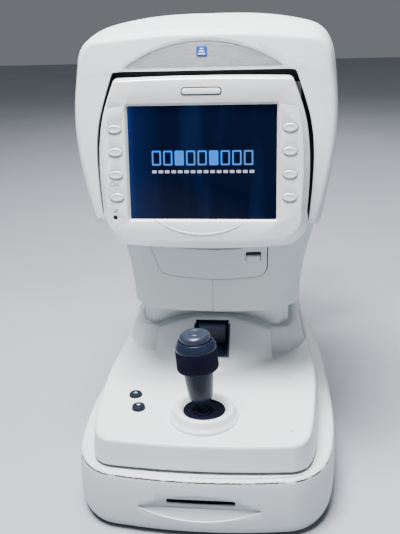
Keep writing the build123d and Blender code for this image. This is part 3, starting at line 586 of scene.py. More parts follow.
def base_housing():
    line = plan_outline(BASE_HALF)
    rows = [np.c_[push(line, -d), np.full(len(line), z)] for z, d in BASE_SIDE]
    turn = np.arctan2(line[:, 1] + 10, line[:, 0])
    edge = np.array([ray_to_rectangle(a, 62, 88) for a in turn])
    for z in (61.5, 58.2):
        rows.append(np.c_[edge, np.full(len(line), z)])
    for z in (58.2, 50.0, 30.0, 9.0):
        rows.append(np.c_[push(line, -7.0), np.full(len(line), z)])
    drawn_in = [d for _, d in BASE_SIDE] + [30.0, 30.0, 7.0, 7.0, 7.0, 7.0]
    body = from_grid("base_cover", rows, wrap_rows=True)
    outward(body)
    values = body.data.attributes.new("drawn_in", "FLOAT", "POINT")
    values.data.foreach_set("value", np.repeat(drawn_in, len(line)).astype(np.float32))
    lens = lambda high, low: np.concatenate([arc3((-58, 30.4), (0, high), (58, 30.4), 60)[:-1],
                                             arc3((58, 30.4), (0, low), (-58, 30.4), 60)[:-1]])
    scoop = []
    for line_2d, depth in ((lens(47.0, 16.0), -1.8), (lens(46.4, 18.2), 0.0), (lens(46.2, 18.7), 1.3),
                           (lens(40.6, 30.0), 3.9)):
        scoop.append([(x, -247.0 + 7.2 * (x / 84.0) ** 2 + depth * (1 - 0.35 * (x / 57.5) ** 2), z) for x,
                      z in line_2d])
    cut(body, outward(from_grid("eye_scoop", scoop, cap_ends=True)))
    x0, x1, z0, z1 = SLOT_X - 32, SLOT_X + 32, SLOT_Z - 2.4, SLOT_Z + 2.4
    mouth = lambda grow: rectangle(x0 - grow, x1 + grow, z0 - grow, z1 + grow, 1.6 + grow, 7)
    cut(body, tapered("slot_flare", mouth(2.8), mouth(0.4), upright, -244.2, -241.2),
        prism("slot_hole", mouth(0.0), upright, -246.0, -228.0),
        prism("inlet_hole", rectangle(-75.4, -14.6, 15.6, 44.4, 3, 5), upright,
              200, 240))
    soften(body, 0.35, 2, 48)
    return finish_piece(body, housing_wear_and_shade(), "base", "housing", "base_housing", angle=32)


def ray_to_rectangle(angle, half_x, half_y):
    """Where a ray from the middle leaves a rectangle."""
    c, s = math.cos(angle), math.sin(angle)
    reach = min(half_x / abs(c) if abs(c) > 1e-9 else 1e9, half_y / abs(s) if abs(s) > 1e-9 else 1e9)
    return (reach * c, reach * s)


def housing_wear_and_shade():
    """Housing plastic whose rim has lost its paint in dark chips and scuffed lines towards the operator, in a
    darker copy of the stage's white and with painted shade on faces that look down.
    """
    name = "housing_wear_and_painted_shade"
    # Painted shade: the base cover's white is a darker copy of the stage's white plastic.
    n = Nodes(name, moulded(name, (0.650, 0.690, 0.700), rough=0.40))
    inset = n.add("ShaderNodeAttribute", attribute_name="drawn_in").outputs["Fac"]
    axes = n.add("ShaderNodeSeparateXYZ")
    n.link(n.place, axes.inputs[0])
    front = n.ramp(n.math("MULTIPLY", axes.outputs["Y"], -4.0), (0.62, (0, 0, 0, 1)), (0.84, (1, 1, 1, 1)))
    high = n.ramp(n.math("MULTIPLY", axes.outputs["Z"], 10.0), (0.585, (0, 0, 0, 1)), (0.592, (1, 1, 1, 1)))
    wobble = n.math("MULTIPLY", n.math("SUBTRACT", n.noise(330.0, 4.0, 0.7), 0.5), 1.5)
    rim = n.math("ADD", inset, wobble)
    edge = n.ramp(n.math("MULTIPLY", rim, 0.1), (0.160, (0, 0, 0, 1)), (0.185, (1, 1, 1, 1)),
                  (0.245, (1, 1, 1, 1)),
                  (0.275, (0, 0, 0, 1)))
    line = n.ramp(n.math("MULTIPLY", rim, 0.1), (0.690, (0, 0, 0, 1)), (0.720, (1, 1, 1, 1)),
                  (0.780, (1, 1, 1, 1)),
                  (0.810, (0, 0, 0, 1)))
    patches = n.ramp(n.noise(20.0, 4.0, 0.65), (0.40, (0, 0, 0, 1)), (0.46, (1, 1, 1, 1)))
    sparse = n.ramp(n.noise(16.0, 4.0, 0.65), (0.48, (0, 0, 0, 1)), (0.54, (1, 1, 1, 1)))
    chips = n.math("MAXIMUM", n.math("MULTIPLY", edge, patches),
                   n.math("MULTIPLY", n.math("MULTIPLY", line, sparse), 0.9))
    chips = n.math("MULTIPLY", n.math("MULTIPLY", chips, front), high)
    into = n.shader.inputs["Base Color"]
    under = into.links[0].from_socket
    # Painted shade: faces that look down are darkened on purpose, by up to a quarter, because the lamps alone
    # leave the recess's upper slope too light.
    facing = n.add("ShaderNodeSeparateXYZ")
    n.link(n.add("ShaderNodeTexCoord").outputs["Normal"], facing.inputs[0])
    painted_down_shade = n.ramp(n.math("MULTIPLY", facing.outputs["Z"], -1.0), (0.16, (1, 1, 1, 1)),
                   (0.34, (0.74, 0.75, 0.76, 1)))
    under = n.mix(1.0, under, painted_down_shade, "MULTIPLY")
    n.link(n.mix(chips, under, (0.035, 0.035, 0.040, 1)), into)
    return n.material


# ------------------------------------------------------------------ stage cover
STAGE_LOW = [(0, -235), (84, -230), (98, -222), (105, -206), (110, -165), (113.5, -110), (112, -50),
             (108, 10),
             (102, 58), (88, 80), (66, 85.5), (0, 87)]
STAGE_HIGH = [(0, -229.5), (82, -225.5), (93, -219), (99, -203), (103, -165), (105.5, -110), (101, -50),
              (95, 10),
              (90, 56), (78, 75), (58, 79.5), (0, 81)]
SURFACE = [(-260, 88.5), (-229, 91), (-186, 95), (-120, 97.5), (-76, 101), (-45, 105), (-5, 112), (40, 119),
           (100, 125)]
LEDGE = 130.0
PINHOLE = (84.6, -207.4)
SHOULDERS = [(-93, 60), (-93, -36), (-80, -55), (-60, -59), (60, -59), (80, -55), (93, -36), (93, 60)]


def outside(points, polygon):
    """Signed distance to a convex polygon, positive outside, with its corners rounded naturally."""
    distance, inside = np.full(len(points), 1e9), np.ones(len(points), bool)
    poly = np.array(polygon, float)
    for a, b in zip(poly, np.roll(poly, -1, axis=0)):
        along = b - a
        t = np.clip(((points - a) @ along) / (along @ along), 0, 1)
        distance = np.minimum(distance, np.linalg.norm(points - a - t[:, None] * along, axis=1))
        inside &= (along[0] * (points[:, 1] - a[1]) - along[1] * (points[:, 0] - a[0])) > 0
    return np.where(inside, -distance, distance)


DECK_LINE = c2_spline(SURFACE, None, None, 400)


def stage_height(points):
    """Height of the stage's moulded top: deck, shoulders and the bowed panel between them, all blended."""
    x, y = points[:, 0], points[:, 1]
    deck = np.interp(y, DECK_LINE[:, 0], DECK_LINE[:, 1])
    ring = np.array(SHOULDERS)[::-1] if polygon_area(SHOULDERS) < 0 else np.array(SHOULDERS)
    d = outside(points, ring)
    shoulder = smooth_min(np.full(len(x), LEDGE), LEDGE - (d + 0.6) / 0.30, 1.2)
    w = np.clip(np.abs(x) / 62.0, 0, 1) ** 2.4
    panel = (y + 212.1 * (1 - w) + 113.5 * w) / (1.0556 * (1 - w) + 0.35 * w)
    arch = 144.0 - 13.0 * (np.abs(x) / 62.0) ** 2.2
    panel = smooth_min(smooth_min(panel, arch, 2.0), 130.0 + (62.0 - np.abs(x)) * 12.0, 1.0)
    return smooth_max(smooth_max(deck, shoulder, 1.2), panel, 0.9)


def polygon_area(points):
    p = np.array(points, float)
    q = np.roll(p, -1, axis=0)
    return float((p[:, 0] * q[:, 1] - p[:, 1] * q[:, 0]).sum() / 2)


def four_sides(line, across, along):
    """Resample a closed outline so that its four rounded corners fall on fixed places."""
    corners = [int(np.argmax(line @ np.array(v))) for v in ((-1, -1.2), (1, -1.2), (1, 1.2), (-1, 1.2))]
    line = np.roll(line, -corners[0], axis=0)
    corners = [(c - corners[0]) % len(line) for c in corners] + [len(line)]
    closed = np.vstack([line, line[:1]])
    counts = (across, along, across, along)
    return [resample(closed[corners[i]:corners[i + 1] + 1], counts[i]) for i in range(4)]


def stage_cover():
    across, along = 160, 240
    low = np.concatenate([s[:-1] for s in four_sides(plan_outline(STAGE_LOW), across, along)])
    high = np.concatenate([s[:-1] for s in four_sides(plan_outline(STAGE_HIGH), across, along)])

    def wall(z):
        t = (z - 64.5) / 65.5
        return low + (high - low) * np.reshape(t, (-1, 1))

    top = wall(np.full(len(low), 95.0))
    for _ in range(4):
        top_z = stage_height(push(top, -4.0))
        top = wall(top_z)
    rows = []
    for z, d in ((67.0, 3.0), (65.0, 2.6), (64.5, 2.0), (64.5, 1.0), (64.8, 0.3), (65.6, 0.0)):
        rows.append(np.c_[push(low, -d), np.full(len(low), z)])
    edge = 3.0
    for f in np.linspace(0.08, 1, 12):
        z = 65.6 + (top_z - edge - 65.6) * f
        rows.append(np.c_[wall(z), z])
    for a in np.radians((18, 36, 54, 72, 90)):
        z = top_z - edge * (1 - math.sin(a))
        ring = push(wall(np.minimum(z, top_z)), -edge * (1 - math.cos(a)) * 0.9)
        rows.append(np.c_[ring, z])
    rim = rows[-1][:, :2]
    sides, at = [], 0
    for count in (across, along, across, along):
        sides.append(np.vstack([rim, rim[:1]])[at:at + count])
        at += count - 1
    bottom, right, back, left = sides[0], sides[1], sides[2][::-1], sides[3][::-1]
    u = np.linspace(0, 1, across)[None, :, None]
    v = np.linspace(0, 1, along)[:, None, None]
    coons = ((1 - v) * bottom[None] + v * back[None] + (1 - u) * left[:, None] + u * right[:, None]
             - (1 - u) * (1 - v) * bottom[0] - u * (1 - v) * bottom[-1] - (1 - u) * v * back[0] - u * v
             * back[-1])
    flat = coons.reshape(-1, 2)
    z = stage_height(flat)
    deck = np.c_[flat, z].reshape(along, across, 3)
    ring_z = rows[-1][:, 2]
    at = 0
    for side, count in enumerate((across, along, across, along)):
        piece = np.r_[ring_z, ring_z[:1]][at:at + count]
        at += count - 1
        if side == 0:
            deck[0, :, 2] = piece
        elif side == 1:
            deck[:, -1, 2] = piece
        elif side == 2:
            deck[-1, :, 2] = piece[::-1]
        else:
            deck[:, 0, 2] = piece[::-1]
    skirt = from_grid("stage_skirt", rows)
    sheet = from_grid("stage_sheet", deck, wrap_columns=False)
    body = join(skirt, sheet)
    body.name = "stage_moulding"
    bm = bmesh.new()
    bm.from_mesh(body.data)
    bmesh.ops.remove_doubles(bm, verts=bm.verts, dist=0.00002)
    bm.to_mesh(body.data)
    bm.free()
    modify(body, "SOLIDIFY", thickness=2.6 * MM, offset=-1.0)
    outward(body)
    stick = (1.0, -186.0)
    cutters = [turned("collar_hole", [(25, 70), (25, 120)], (stick[0], stick[1], 0), count=64)]
    for i, (x, y) in enumerate(((-72.0, -155.0), (-64.7, -178.6))):
        cutters.append(turned(f"key_hole_{i}", [(6.9, 80), (6.9, 115)], (x, y, 0), count=48))
    cutters.append(box_mesh("lever_hole", -19.7, 16.3, -130, -50, 113, 140.5))
    cutters.append(box_mesh("neck_hole", -70, 70, -46, 42, 60, 180))
    cut(body, *cutters)
    finish_piece(body, WHITE, "stage", "housing", "stage_cover", angle=40)
    neck_line = rounded([(-70, -50), (70, -50), (81, -38), (81, 46), (-81, 46), (-81, -38)],
                        [3, 3, 3, 4, 4, 3], 7)
    inner = push(neck_line, -3.0)
    rows = [np.c_[neck_line, np.full(len(inner), z)] for z in (116, 130, 150, 179.5)]
    rows += [np.c_[push(neck_line, -0.5), np.full(len(inner), 181)], np.c_[inner, np.full(len(inner), 181)]]
    rows += [np.c_[inner, np.full(len(inner), z)] for z in (150, 116)]
    finish_piece(outward(from_grid("stage_neck", rows, wrap_rows=True)), WHITE, "stage", "housing",
                 "stage_cover")
    profile = fillet_profile([(34.0, 88), (33.8, 95.0), (31.0, 97.4), (29.0, 102.6), (27.8, 103.8),
                              (24.4, 103.8),
                              (23.2, 103.2), (20.6, 101.0), (20.2, 100.5), (21.0, 100.1), (28.0, 99.4),
                              (28.0, 88)],
                             [0, 0.6, 1.0, 0.6, 0.6, 0.4, 0.4, 0.4, 0.2, 0.3, 0.8, 0], 5)
    collar = turned("stick_collar", profile, (stick[0], stick[1], 0), closed=True, count=128)
    finish_piece(collar, WHITE, "stage", "housing", "stage_cover")
    liner = box_mesh("recess_liner_outer", -21.5, 18.1, -96, -52, 111.5, 142.0)
    cut(liner, box_mesh("recess_liner_inner", -19.6, 16.2, -100, -54, 113.2, 140.4),
        prism("recess_liner_trim", [(-140, 80), (-61.0, 142.2), (-61, 160), (-140, 160)],
              sideways, -40, 40))
    finish_piece(soften(liner, 0.5, 2), DARK_TRIM, "stage", "dark_trim")
    x, y = PINHOLE
    z = float(stage_height(np.array([[x, y]]))[0])
    mark = turned("deck_pinhole", [(0.9, z - 0.25), (0.9, z + 0.02), (0.5, z + 0.08)], (x, y, 0), count=24)
    finish_piece(mark, BLACK, "stage", "black_plastic")


base_housing()
stage_cover()

# ------------------------------------------------------------------ head: hood and rear cover
RIM = [(0, 444.5), (52, 443.3), (92, 440), (107, 437), (114, 429), (118, 411), (121.5, 385), (122.3, 356),
       (119.7, 330), (115.3, 305), (110, 282), (105.5, 267)]
CROWN = [(0, 458), (55, 456.3), (92, 450.5), (109, 444), (119, 430), (123.5, 408), (125, 380), (124.6, 354),
         (123, 328), (121, 304), (118.5, 284), (117, 267)]
SHOULDER = [(x * 0.975, z - 1.5 if z > 400 else z) for x, z in CROWN]
BACK_MID = [(x * 0.90, z - 10 if z > 400 else z) for x, z in CROWN]
BACK_END = [(x * 0.70, WINDOW_Z + (z - WINDOW_Z) * 0.72) for x, z in CROWN]
HEAD_AT = (-114.0, -28.0, 20.0, 75.0, 105.0)
OPENING_SIDE = [(85.5, 407.5), (92, 389), (98, 369), (101.5, 347), (102, 324), (100.3, 294), (97, 262)]


def spline_rows(sections, at, stations):
    """Rows between sections, by a natural cubic spline through every column."""
    t, y = np.array(at, float), np.array(sections, float)
    h, k = np.diff(t), len(t)
    a, rhs = np.eye(k), np.zeros_like(y)
    for i in range(1, k - 1):
        a[i, i - 1], a[i, i], a[i, i + 1] = h[i - 1], 2 * (h[i - 1] + h[i]), h[i]
        rhs[i] = 6 * ((y[i + 1] - y[i]) / h[i] - (y[i] - y[i - 1]) / h[i - 1])
    m = np.linalg.solve(a, rhs.reshape(k, -1)).reshape(y.shape)
    rows = []
    for s in stations:
        i = min(max(int(np.searchsorted(t, s)) - 1, 0), k - 2)
        u, v, w = s - t[i], t[i + 1] - s, h[i]
        rows.append(m[i] * v ** 3 / (6 * w) + m[i + 1] * u ** 3 / (6 * w) + (y[i] / w - m[i] * w / 6) * v
                    + (y[i + 1] / w - m[i + 1] * w / 6) * u)
    return np.array(rows)


def arch_loop(half, amount=0.0, drop=0.0):
    """Closed loop: up the right side of an arch, over and down the left, and back along the floor."""
    right = c2_spline(half, np.array((1.0, 0.0)), None, 80)[::-1]
    line = np.concatenate([right, (right * (-1, 1))[::-1][1:]])
    t = np.gradient(line, axis=0)
    t /= np.linalg.norm(t, axis=1)[:, None]
    line = line - amount * np.stack([t[:, 1], -t[:, 0]], 1)
    line[0, 1], line[-1, 1] = half[-1][1], half[-1][1]
    ground = np.linspace(line[-1] - (0, drop), line[0] - (0, drop), 24)
    return np.concatenate([line, ground if drop else ground[1:-1]])


def head_sections(amount=0.0, drop=0.0):
    rim = np.array([on_hood(x, z) for x, z in arch_loop(RIM, amount, drop)])
    rest = [np.array([(x, y, z) for x, z in arch_loop(half, amount, drop)])
            for half, y in ((CROWN, -28), (SHOULDER, 20), (BACK_MID, 75), (BACK_END, 105))]
    return [rim] + rest


def opening_line(grow=0.0, low=250.0):
    """Outline of the display opening, from the lower right over the top to the lower left."""
    side = c2_spline(OPENING_SIDE, None, None, 36) + (grow, 0)
    corner = [(84.2 + grow, 409.3 + grow), (81 + grow, 409.8 + grow)]
    right = np.concatenate([[(97 + grow, low)], side[side[:, 1] > low + 1][::-1], corner])
    return np.concatenate([right, (right * (-1, 1))[::-1]])


def hood():
    crease = 6.0
    rows = []
    for a in np.radians([0, 15, 30, 45, 60, 75]):
        loop = arch_loop(RIM, crease * (1 - math.sin(a)))
        rows.append(np.array([on_hood(x, z, crease * (1 - math.cos(a))) for x, z in loop]))
    rows += list(spline_rows(head_sections(), HEAD_AT,
                             [-107.5, -104, -98, -90, -80, -68, -56, -44, -32, -20, -8,
                                                        4, 14, 19.4, 20]))
    rows[-1] = rows[-1] * (0.996, 1, 1)
    body = outward(from_grid("hood_shell", rows, cap_ends=True))
    inner = [np.array([on_hood(x, z, 4.5) for x, z in arch_loop(RIM, 6.0, 8.0)]),
             np.array([on_hood(x, z, 8.0) for x, z in arch_loop(RIM, 3.2, 8.0)])]
    inner += list(spline_rows(head_sections(3.0, 8.0), HEAD_AT, [-100, -85, -65, -45, -25, -5, 15, 30]))
    arch = lambda half, low, high: np.concatenate([arc3((half, low), (0, high), (-half, low), 70),
                                                   [(-half, 404.0), (half, 404.0)]])
    cut(body, outward(from_grid("hood_inside", inner, cap_ends=True)),
        prism("hood_opening", opening_line(), upright, -150, -96),
        tapered("badge_pocket", arch(82.5, 409.6, 439.2), arch(78.6, 409.0, 435.6), on_hood, -0.4, 2.6))
    wedge = [(2.2, 412.2), (6.5, 404.0), (-4.0, 404.0), (-4.0, 412.2)]
    cut(body, prism("strip_slope", wedge, lambda d, z, x: on_hood(x, z, d), -77.5, 77.5))
    nose = [(-128.7 + 10 - 10 * math.cos(a), 277.0 - 10 * math.sin(a))
            for a in np.radians(np.linspace(0, 90, 14))]
    cut(body, prism("tip_cutter", nose + [(-118.7, 262), (-134, 262), (-134, 277)], sideways,
                    -140, 140))
    soften(body, 0.7, 3, 42)
    return finish_piece(body, GREY_WHITE, "head", "head_cover", "hood", angle=30)


def rear_cover():
    rows = list(spline_rows(head_sections(), HEAD_AT, [20.6, 21.2, 30, 40, 50, 60, 70, 80, 90, 97, 100.5]))
    rows[0] = rows[0] * (0.996, 1, 1)
    end = head_sections()[-1]
    mid = end.mean(axis=0)
    for y, shrink in ((102.6, 0.985), (104.2, 0.965), (104.9, 0.94), (105.0, 0.91)):
        rows.append((end - mid) * (shrink, 1, shrink) + (mid[0], y, mid[2]))
    body = outward(from_grid("rear_shell", rows, cap_ends=True))
    inner = list(spline_rows(head_sections(3.0, 8.0), HEAD_AT, [10, 25, 40, 55, 70, 85, 96]))
    cut(body, outward(from_grid("rear_inside", inner, cap_ends=True)),
        turned("window_hole", [(47, 60), (47, 120)], (0, 0, WINDOW_Z), "Y", 128))
    for k in range(6):
        z = 386.0 + 4.4 * k
        half = 40.0 - 0.8 * k
        vent = rectangle(-half, half, z - 0.9, z + 0.9, 0.85, 5)
        cut(body, prism("vent", vent, upright, 90, 120))
    soften(body, 0.6, 2, 42)
    return finish_piece(body, GREY_WHITE, "head", "head_cover", "rear_cover", angle=30)


def head_lining():
    """Dark tub round the display, the floor that closes the head, and a lip behind the cover seam."""
    # The tub is black to stand for the shade in the gap round the display: painted shade.
    tub = prism("display_well", opening_line(1.6, 266.0), upright, -107.0, -80.0)
    cut(tub, prism("well_space", opening_line(0.4, 267.5), upright, -115.0, -82.0))
    finish_piece(tub, BLACK, "head", "black_plastic")
    plan = [(-100, -79.5), (100, -79.5), (113, -50), (113.5, -10), (111, 20), (101, 74), (90, 78), (-90, 78),
            (-101, 74),
            (-111, 20), (-113.5, -10), (-113, -50)]
    floor = prism("head_floor", rounded(plan, [4] * 12, 4), flat, 265.0, 266.8)
    finish_piece(soften(floor, 0.4, 2), GREY_WHITE, "head", "head_cover")
    rows = list(spline_rows(head_sections(3.15, 0.0), HEAD_AT, [12, 20, 28]))
    rows += list(spline_rows(head_sections(4.6, 0.0), HEAD_AT, [28, 20, 12]))
    lip = outward(from_grid("seam_lip", rows, wrap_rows=True))
    finish_piece(lip, BLACK, "head", "black_plastic")


def badge():
    line = arc3((73, 412.8), (0, 434.4), (-73, 412.8), 72)
    plate = prism("name_plate", line, on_hood, 1.3, 2.7)
    soften(plate, 0.35, 2, 40)
    finish_piece(plate, BRUSHED, "head", "badge", "badge_plate", angle=25)
    blue = moulded("emblem_blue", (0.012, 0.06, 0.42), rough=0.35, grain=0.1, mottle=0.1)
    tile = prism("emblem_tile", rectangle(-5.5, 4.3, 422.4, 431.2, 0.9, 4), on_hood,
                 0.75, 1.5)
    finish_piece(soften(tile, 0.15, 2), blue, "head", "badge")
    for low, half in ((424.0, 3.4), (426.2, 2.6), (428.4, 1.6)):
        bar = prism(f"emblem_bar_{int(low)}", rectangle(-0.6 - half, -0.6 + half, low, low + 1.1, 0.4, 4),
                    on_hood, 0.62, 0.9)
        finish_piece(bar, CUP, "head", "badge")


hood()
rear_cover()
head_lining()
badge()

# ------------------------------------------------------------------ head: casing and printer door
CASING = [(152, 92.5, 70), (176, 94, 74), (197, 96.8, 77.5), (218, 101.5, 80.5), (233, 105.5, 83),
          (250, 111, 88),
          (264.5, 116.5, 93)]


def casing_loop(w, c):
    """Plan of the casing at one height: bowed front panel and softened corners."""
    x = np.linspace(7 - c, c - 7, 45)
    front = np.stack([x, -58 - 10 * (1 - (x / c) ** 2)], 1)
    right = np.array(fillet_profile([front[-1], (c, -58), (w, -34), (w, 40), (w - 24, 66), (0, 66)],
                                    [0, 8, 9, 14, 14, 0], 9))
    left = (right * (-1, 1))[::-1]
    return np.concatenate([front[:-1], right, left[1:-1]])


def casing_sections(amount, low, high):
    rows = []
    for z, w, c in CASING:
        z = low if z == CASING[0][0] else high if z == CASING[-1][0] else z
        loop = casing_loop(w, c)
        rows.append(np.c_[push(loop, -amount) if amount else loop, np.full(len(loop), z)])
    return rows


def casing_shell(name):
    at = [z for z, _, _ in CASING]
    rows = list(spline_rows(casing_sections(0.0, 152.0, 264.5), at, np.linspace(153.2, 264.5, 30)))
    base = rows[0]
    rim = [np.c_[push(base[:, :2], -d), np.full(len(base), z)] for z,
           d in ((152.0, 1.2), (152.25, 0.5), (152.7, 0.1))]
    body = outward(from_grid(name, rim + rows, cap_ends=True))
    inner = spline_rows(casing_sections(3.0, 152.0, 264.5), at, np.linspace(152.0, 264.5, 16))
    inner[0][:, 2], inner[-1][:, 2] = 148.0, 270.0
    return cut(body, outward(from_grid("casing_inside", inner, cap_ends=True)))


def door_line(grow=0.0, right_grow=0.0):
    low = [arc3((-59, 202), (-56.5, 196.5), (-51, 194), 12), arc3((-51, 194), (0, 190), (45, 192), 50)[1:],
           arc3((45, 192), (54, 195), (57.5, 203), 12)[1:]]
    line = np.concatenate([c2_spline([(-70, 247), (-68, 229), (-63, 214), (-59, 202)], None, None, 14)[:-1]]
                          + low
                          + [[(57.8, 222), (58.2, 247)]])
    line = push(line, grow) if grow else line
    line[-6:, 0] += right_grow
    return line


def casing():
    for side, name in ((-1, "casing_left"), (1, "casing_right")):
        shell = casing_shell(name + "_cover")
        cut(shell, prism("door_hole", door_line(0.55, 0.5), upright, -90, -50))
        near, far = (-200, -0.25) if side < 0 else (0.25, 200)
        half = box_mesh("half", near, far, -200, 200, 100, 400)
        cut(shell, half, keep="INTERSECT")
        soften(shell, 0.35, 2, 50)
        finish_piece(shell, CASE_GREY, "head", "housing", name, angle=32)
    door = casing_shell("printer_door_cover")
    cut(door, prism("door_shape", door_line(), upright, -90, -50), keep="INTERSECT")
    scoop = lambda low, left: np.array([(left, 251), (left, low + 6), (left + 11, low), (31, low), (31, 251)])
    cut(door, tapered("scoop", scoop(221.0, -49), scoop(224.5, -46), upright, -70.0, -65.3))
    slot = lambda grow: rectangle(35.4 - grow, 51.6 + grow, 208.4 - grow, 220 + grow, 2.2, 6)
    cut(door, prism("latch_slot", slot(0), upright, -80, -50))
    soften(door, 0.4, 3, 42)
    finish_piece(door, CASE_GREY, "printer_door", "housing", "printer_door", angle=32)
    back = prism("latch_pocket", slot(0.6), upright, -63.4, -62.2)
    finish_piece(back, BLACK, "printer_door", "black_plastic")
    # A thin black box painted in as the shadow along the paper slot at the top of the door; it is shade, not
    # a part.
    paper_slot_shade = box_mesh("paper_slot_shadow", -40, 29, -64.9, -64.2, 228.0, 240.0)
    finish_piece(paper_slot_shade, BLACK, "printer_door", "black_plastic")
    tab = rectangle(36.2, 50.8, 209.2, 216.2, 1.4, 6)
    mid = tab.mean(axis=0)
    rows = [[(x, y, z) for x, z in (tab - mid) * s + mid] for s,
            y in ((1, -63.5), (1, -66.6), (0.96, -67.4), (0.86, -67.9))]
    latch = outward(from_grid("latch_tab", rows, cap_ends=True))
    finish_piece(latch, WHITE, "door_latch", "housing", "door_latch", angle=30)


casing()

# ------------------------------------------------------------------ display
FACE = [(0, 404.8), (74, 403.6), (79.2, 400), (84.4, 388.5), (89, 372), (91.9, 348), (92.6, 322), (90.7, 286),
        (86.8, 269),
        (75, 261.4), (0, 257.8)]
SKIRT = [(0, 407.6), (77, 406.4), (83, 402), (88, 389), (93.4, 372), (97.2, 348), (98.2, 322), (96.3, 284),
         (91.5, 261.5), (78, 252.6), (0, 249)]
SCREEN_Z, SCREEN_HALF_W, SCREEN_HALF_H = 330.0, 68.25, 51.7
FILLED_BARS = (2, 5)             # screen tiles drawn solid; the others are frames
BAR_DEPTHS = (3.2, 3.38)         # thin marks that stand just proud of the lit panel


def bezel_loop(points, amount=0.0):
    """Closed outline of the display, anticlockwise from the middle of its lower edge."""
    top, shoulder, tip = points[0], points[1], points[2]
    crown = arc3((-shoulder[0], shoulder[1]), top, shoulder, 49)[24:]
    knee = (tip[0] - 1.2, shoulder[1] - 0.2)
    bend = [(1 - t) ** 2 * np.array(shoulder) + 2 * t * (1 - t) * np.array(knee) + t * t * np.array(tip)
            for t in np.linspace(0, 1, 8)]
    side = c2_spline(points[2:8], None, None, 50)
    corner = arc3(points[7], points[8], points[9], 24)
    belly = arc3(points[9], points[10], (-points[9][0], points[9][1]), 49)[:25]
    right = np.concatenate([crown, bend[1:], side[1:], corner[1:], belly[1:]])[::-1]
    line = np.concatenate([right, (right * (-1, 1))[::-1][1:-1]])
    return push(line, -amount) if amount else line


def on_loop(loop, depth):
    return np.array([on_bezel(x, z, depth) for x, z in loop])


def screen_line(grow, radius):
    w, h = SCREEN_HALF_W + grow, SCREEN_HALF_H + grow
    return rectangle(-w, w, SCREEN_Z - h, SCREEN_Z + h, radius, 8)


def display_bezel():
    rows = [on_loop(bezel_loop(FACE, 1.3), 0.0), on_loop(bezel_loop(FACE, 0.6), 0.12),
            on_loop(bezel_loop(FACE), 0.6)]
    for t in (0.1, 0.3, 0.5, 0.7, 0.9):
        rows.append(on_loop(bezel_loop(FACE) * (1 - t) + bezel_loop(SKIRT) * t, 0.6 + 11.2 * t + 0.9 * t * t))
    rows += [on_loop(bezel_loop(SKIRT), 12.9), on_loop(bezel_loop(SKIRT, 0.3), 14.5),
             on_loop(bezel_loop(SKIRT, 1.0), 22.0)]
    body = outward(from_grid("bezel_body", rows, cap_ends=True))
    inner = [on_loop(bezel_loop(FACE, 3.4), 3.0), on_loop(bezel_loop(SKIRT, 3.4), 12.4),
             on_loop(bezel_loop(SKIRT, 3.6), 24.0)]
    cut(body, outward(from_grid("bezel_inside", inner, cap_ends=True)),
        prism("screen_hole", screen_line(2.05, 3.6), on_bezel, -2.0, 8.0))
    for side in (-1, 1):
        for row in range(4):
            cut(body, prism("key_hole", key_line(side, row, 0.55), on_bezel, -2.0, 8.0))
        crease = [(side * 70.9, 382.6), (side * 87.6, 380.2), (side * 87.6, 379.7), (side * 70.9, 382.1)]
        cut(body, prism("crease", crease, on_bezel, -1.0, 0.28))
    cut(body, turned_on_bezel("reset_hole", -82.3, 280.1, [(2.25, -2.0), (2.25, 8.0)]))
    soften(body, 0.35, 2, 42)
    arc = arc3((-44.7, 278.1), (-1.2, 264.6), (40.5, 276.7), 60)
    ridge = []
    for k, (x, z) in enumerate(arc):
        r = 1.25 * math.sin(math.pi * min(max((k + 0.6) / 60, 0.02), 0.98)) ** 0.5
        along = arc[min(k + 1, 59)] - arc[max(k - 1, 0)]
        nx, nz = -along[1] / np.linalg.norm(along), along[0] / np.linalg.norm(along)
        ridge.append([on_bezel(x + nx * r * math.cos(a), z + nz * r * math.cos(a),
                               -0.55 * r * math.sin(a) + 0.1)
                      for a in np.linspace(0, 2 * math.pi, 12, endpoint=False)])
    join(body, outward(from_grid("smile", ridge, cap_ends=True)))
    finish_piece(body, SILVER, "display", "bezel_silver", "display_bezel", angle=28)


def key_line(side, row, grow):
    a = np.linspace(0, 2 * math.pi, 48, endpoint=False)
    x, z = side * 80.0, 361.3 - 20.7 * row
    return np.stack([x + (6.7 + grow) * np.cos(a), z + (3.8 + grow) * np.sin(a)], 1)


def turned_on_bezel(name, x, z, profile, count=40):
    rows = []
    for radius, depth in profile:
        rows.append([on_bezel(x + radius * math.cos(2 * math.pi * k / count),
                              z + radius * math.sin(2 * math.pi * k / count),
                              depth) for k in range(count)])
    return outward(from_grid(name, rows, cap_ends=True))


def display_keys():
    for side, place in ((-1, "left"), (1, "right")):
        for row in range(4):
            steps = [(0.9, 4.4), (0.9, 3.7), (0.0, 3.5), (0.0, -0.5), (-0.25, -0.95), (-0.8, -1.2),
                     (-1.5, -1.25),
                     (-2.1, -1.0), (-2.9, -0.95)]
            rows = [on_loop(key_line(side, row, grow), depth) for grow, depth in steps]
            key = outward(from_grid(f"{place}_cap_{row + 1}", rows, cap_ends=True))
            finish_piece(key, KEY_SILVER, f"{place}_key_{row + 1}", "key_silver", f"{place}_key_{row + 1}",
                         angle=40)


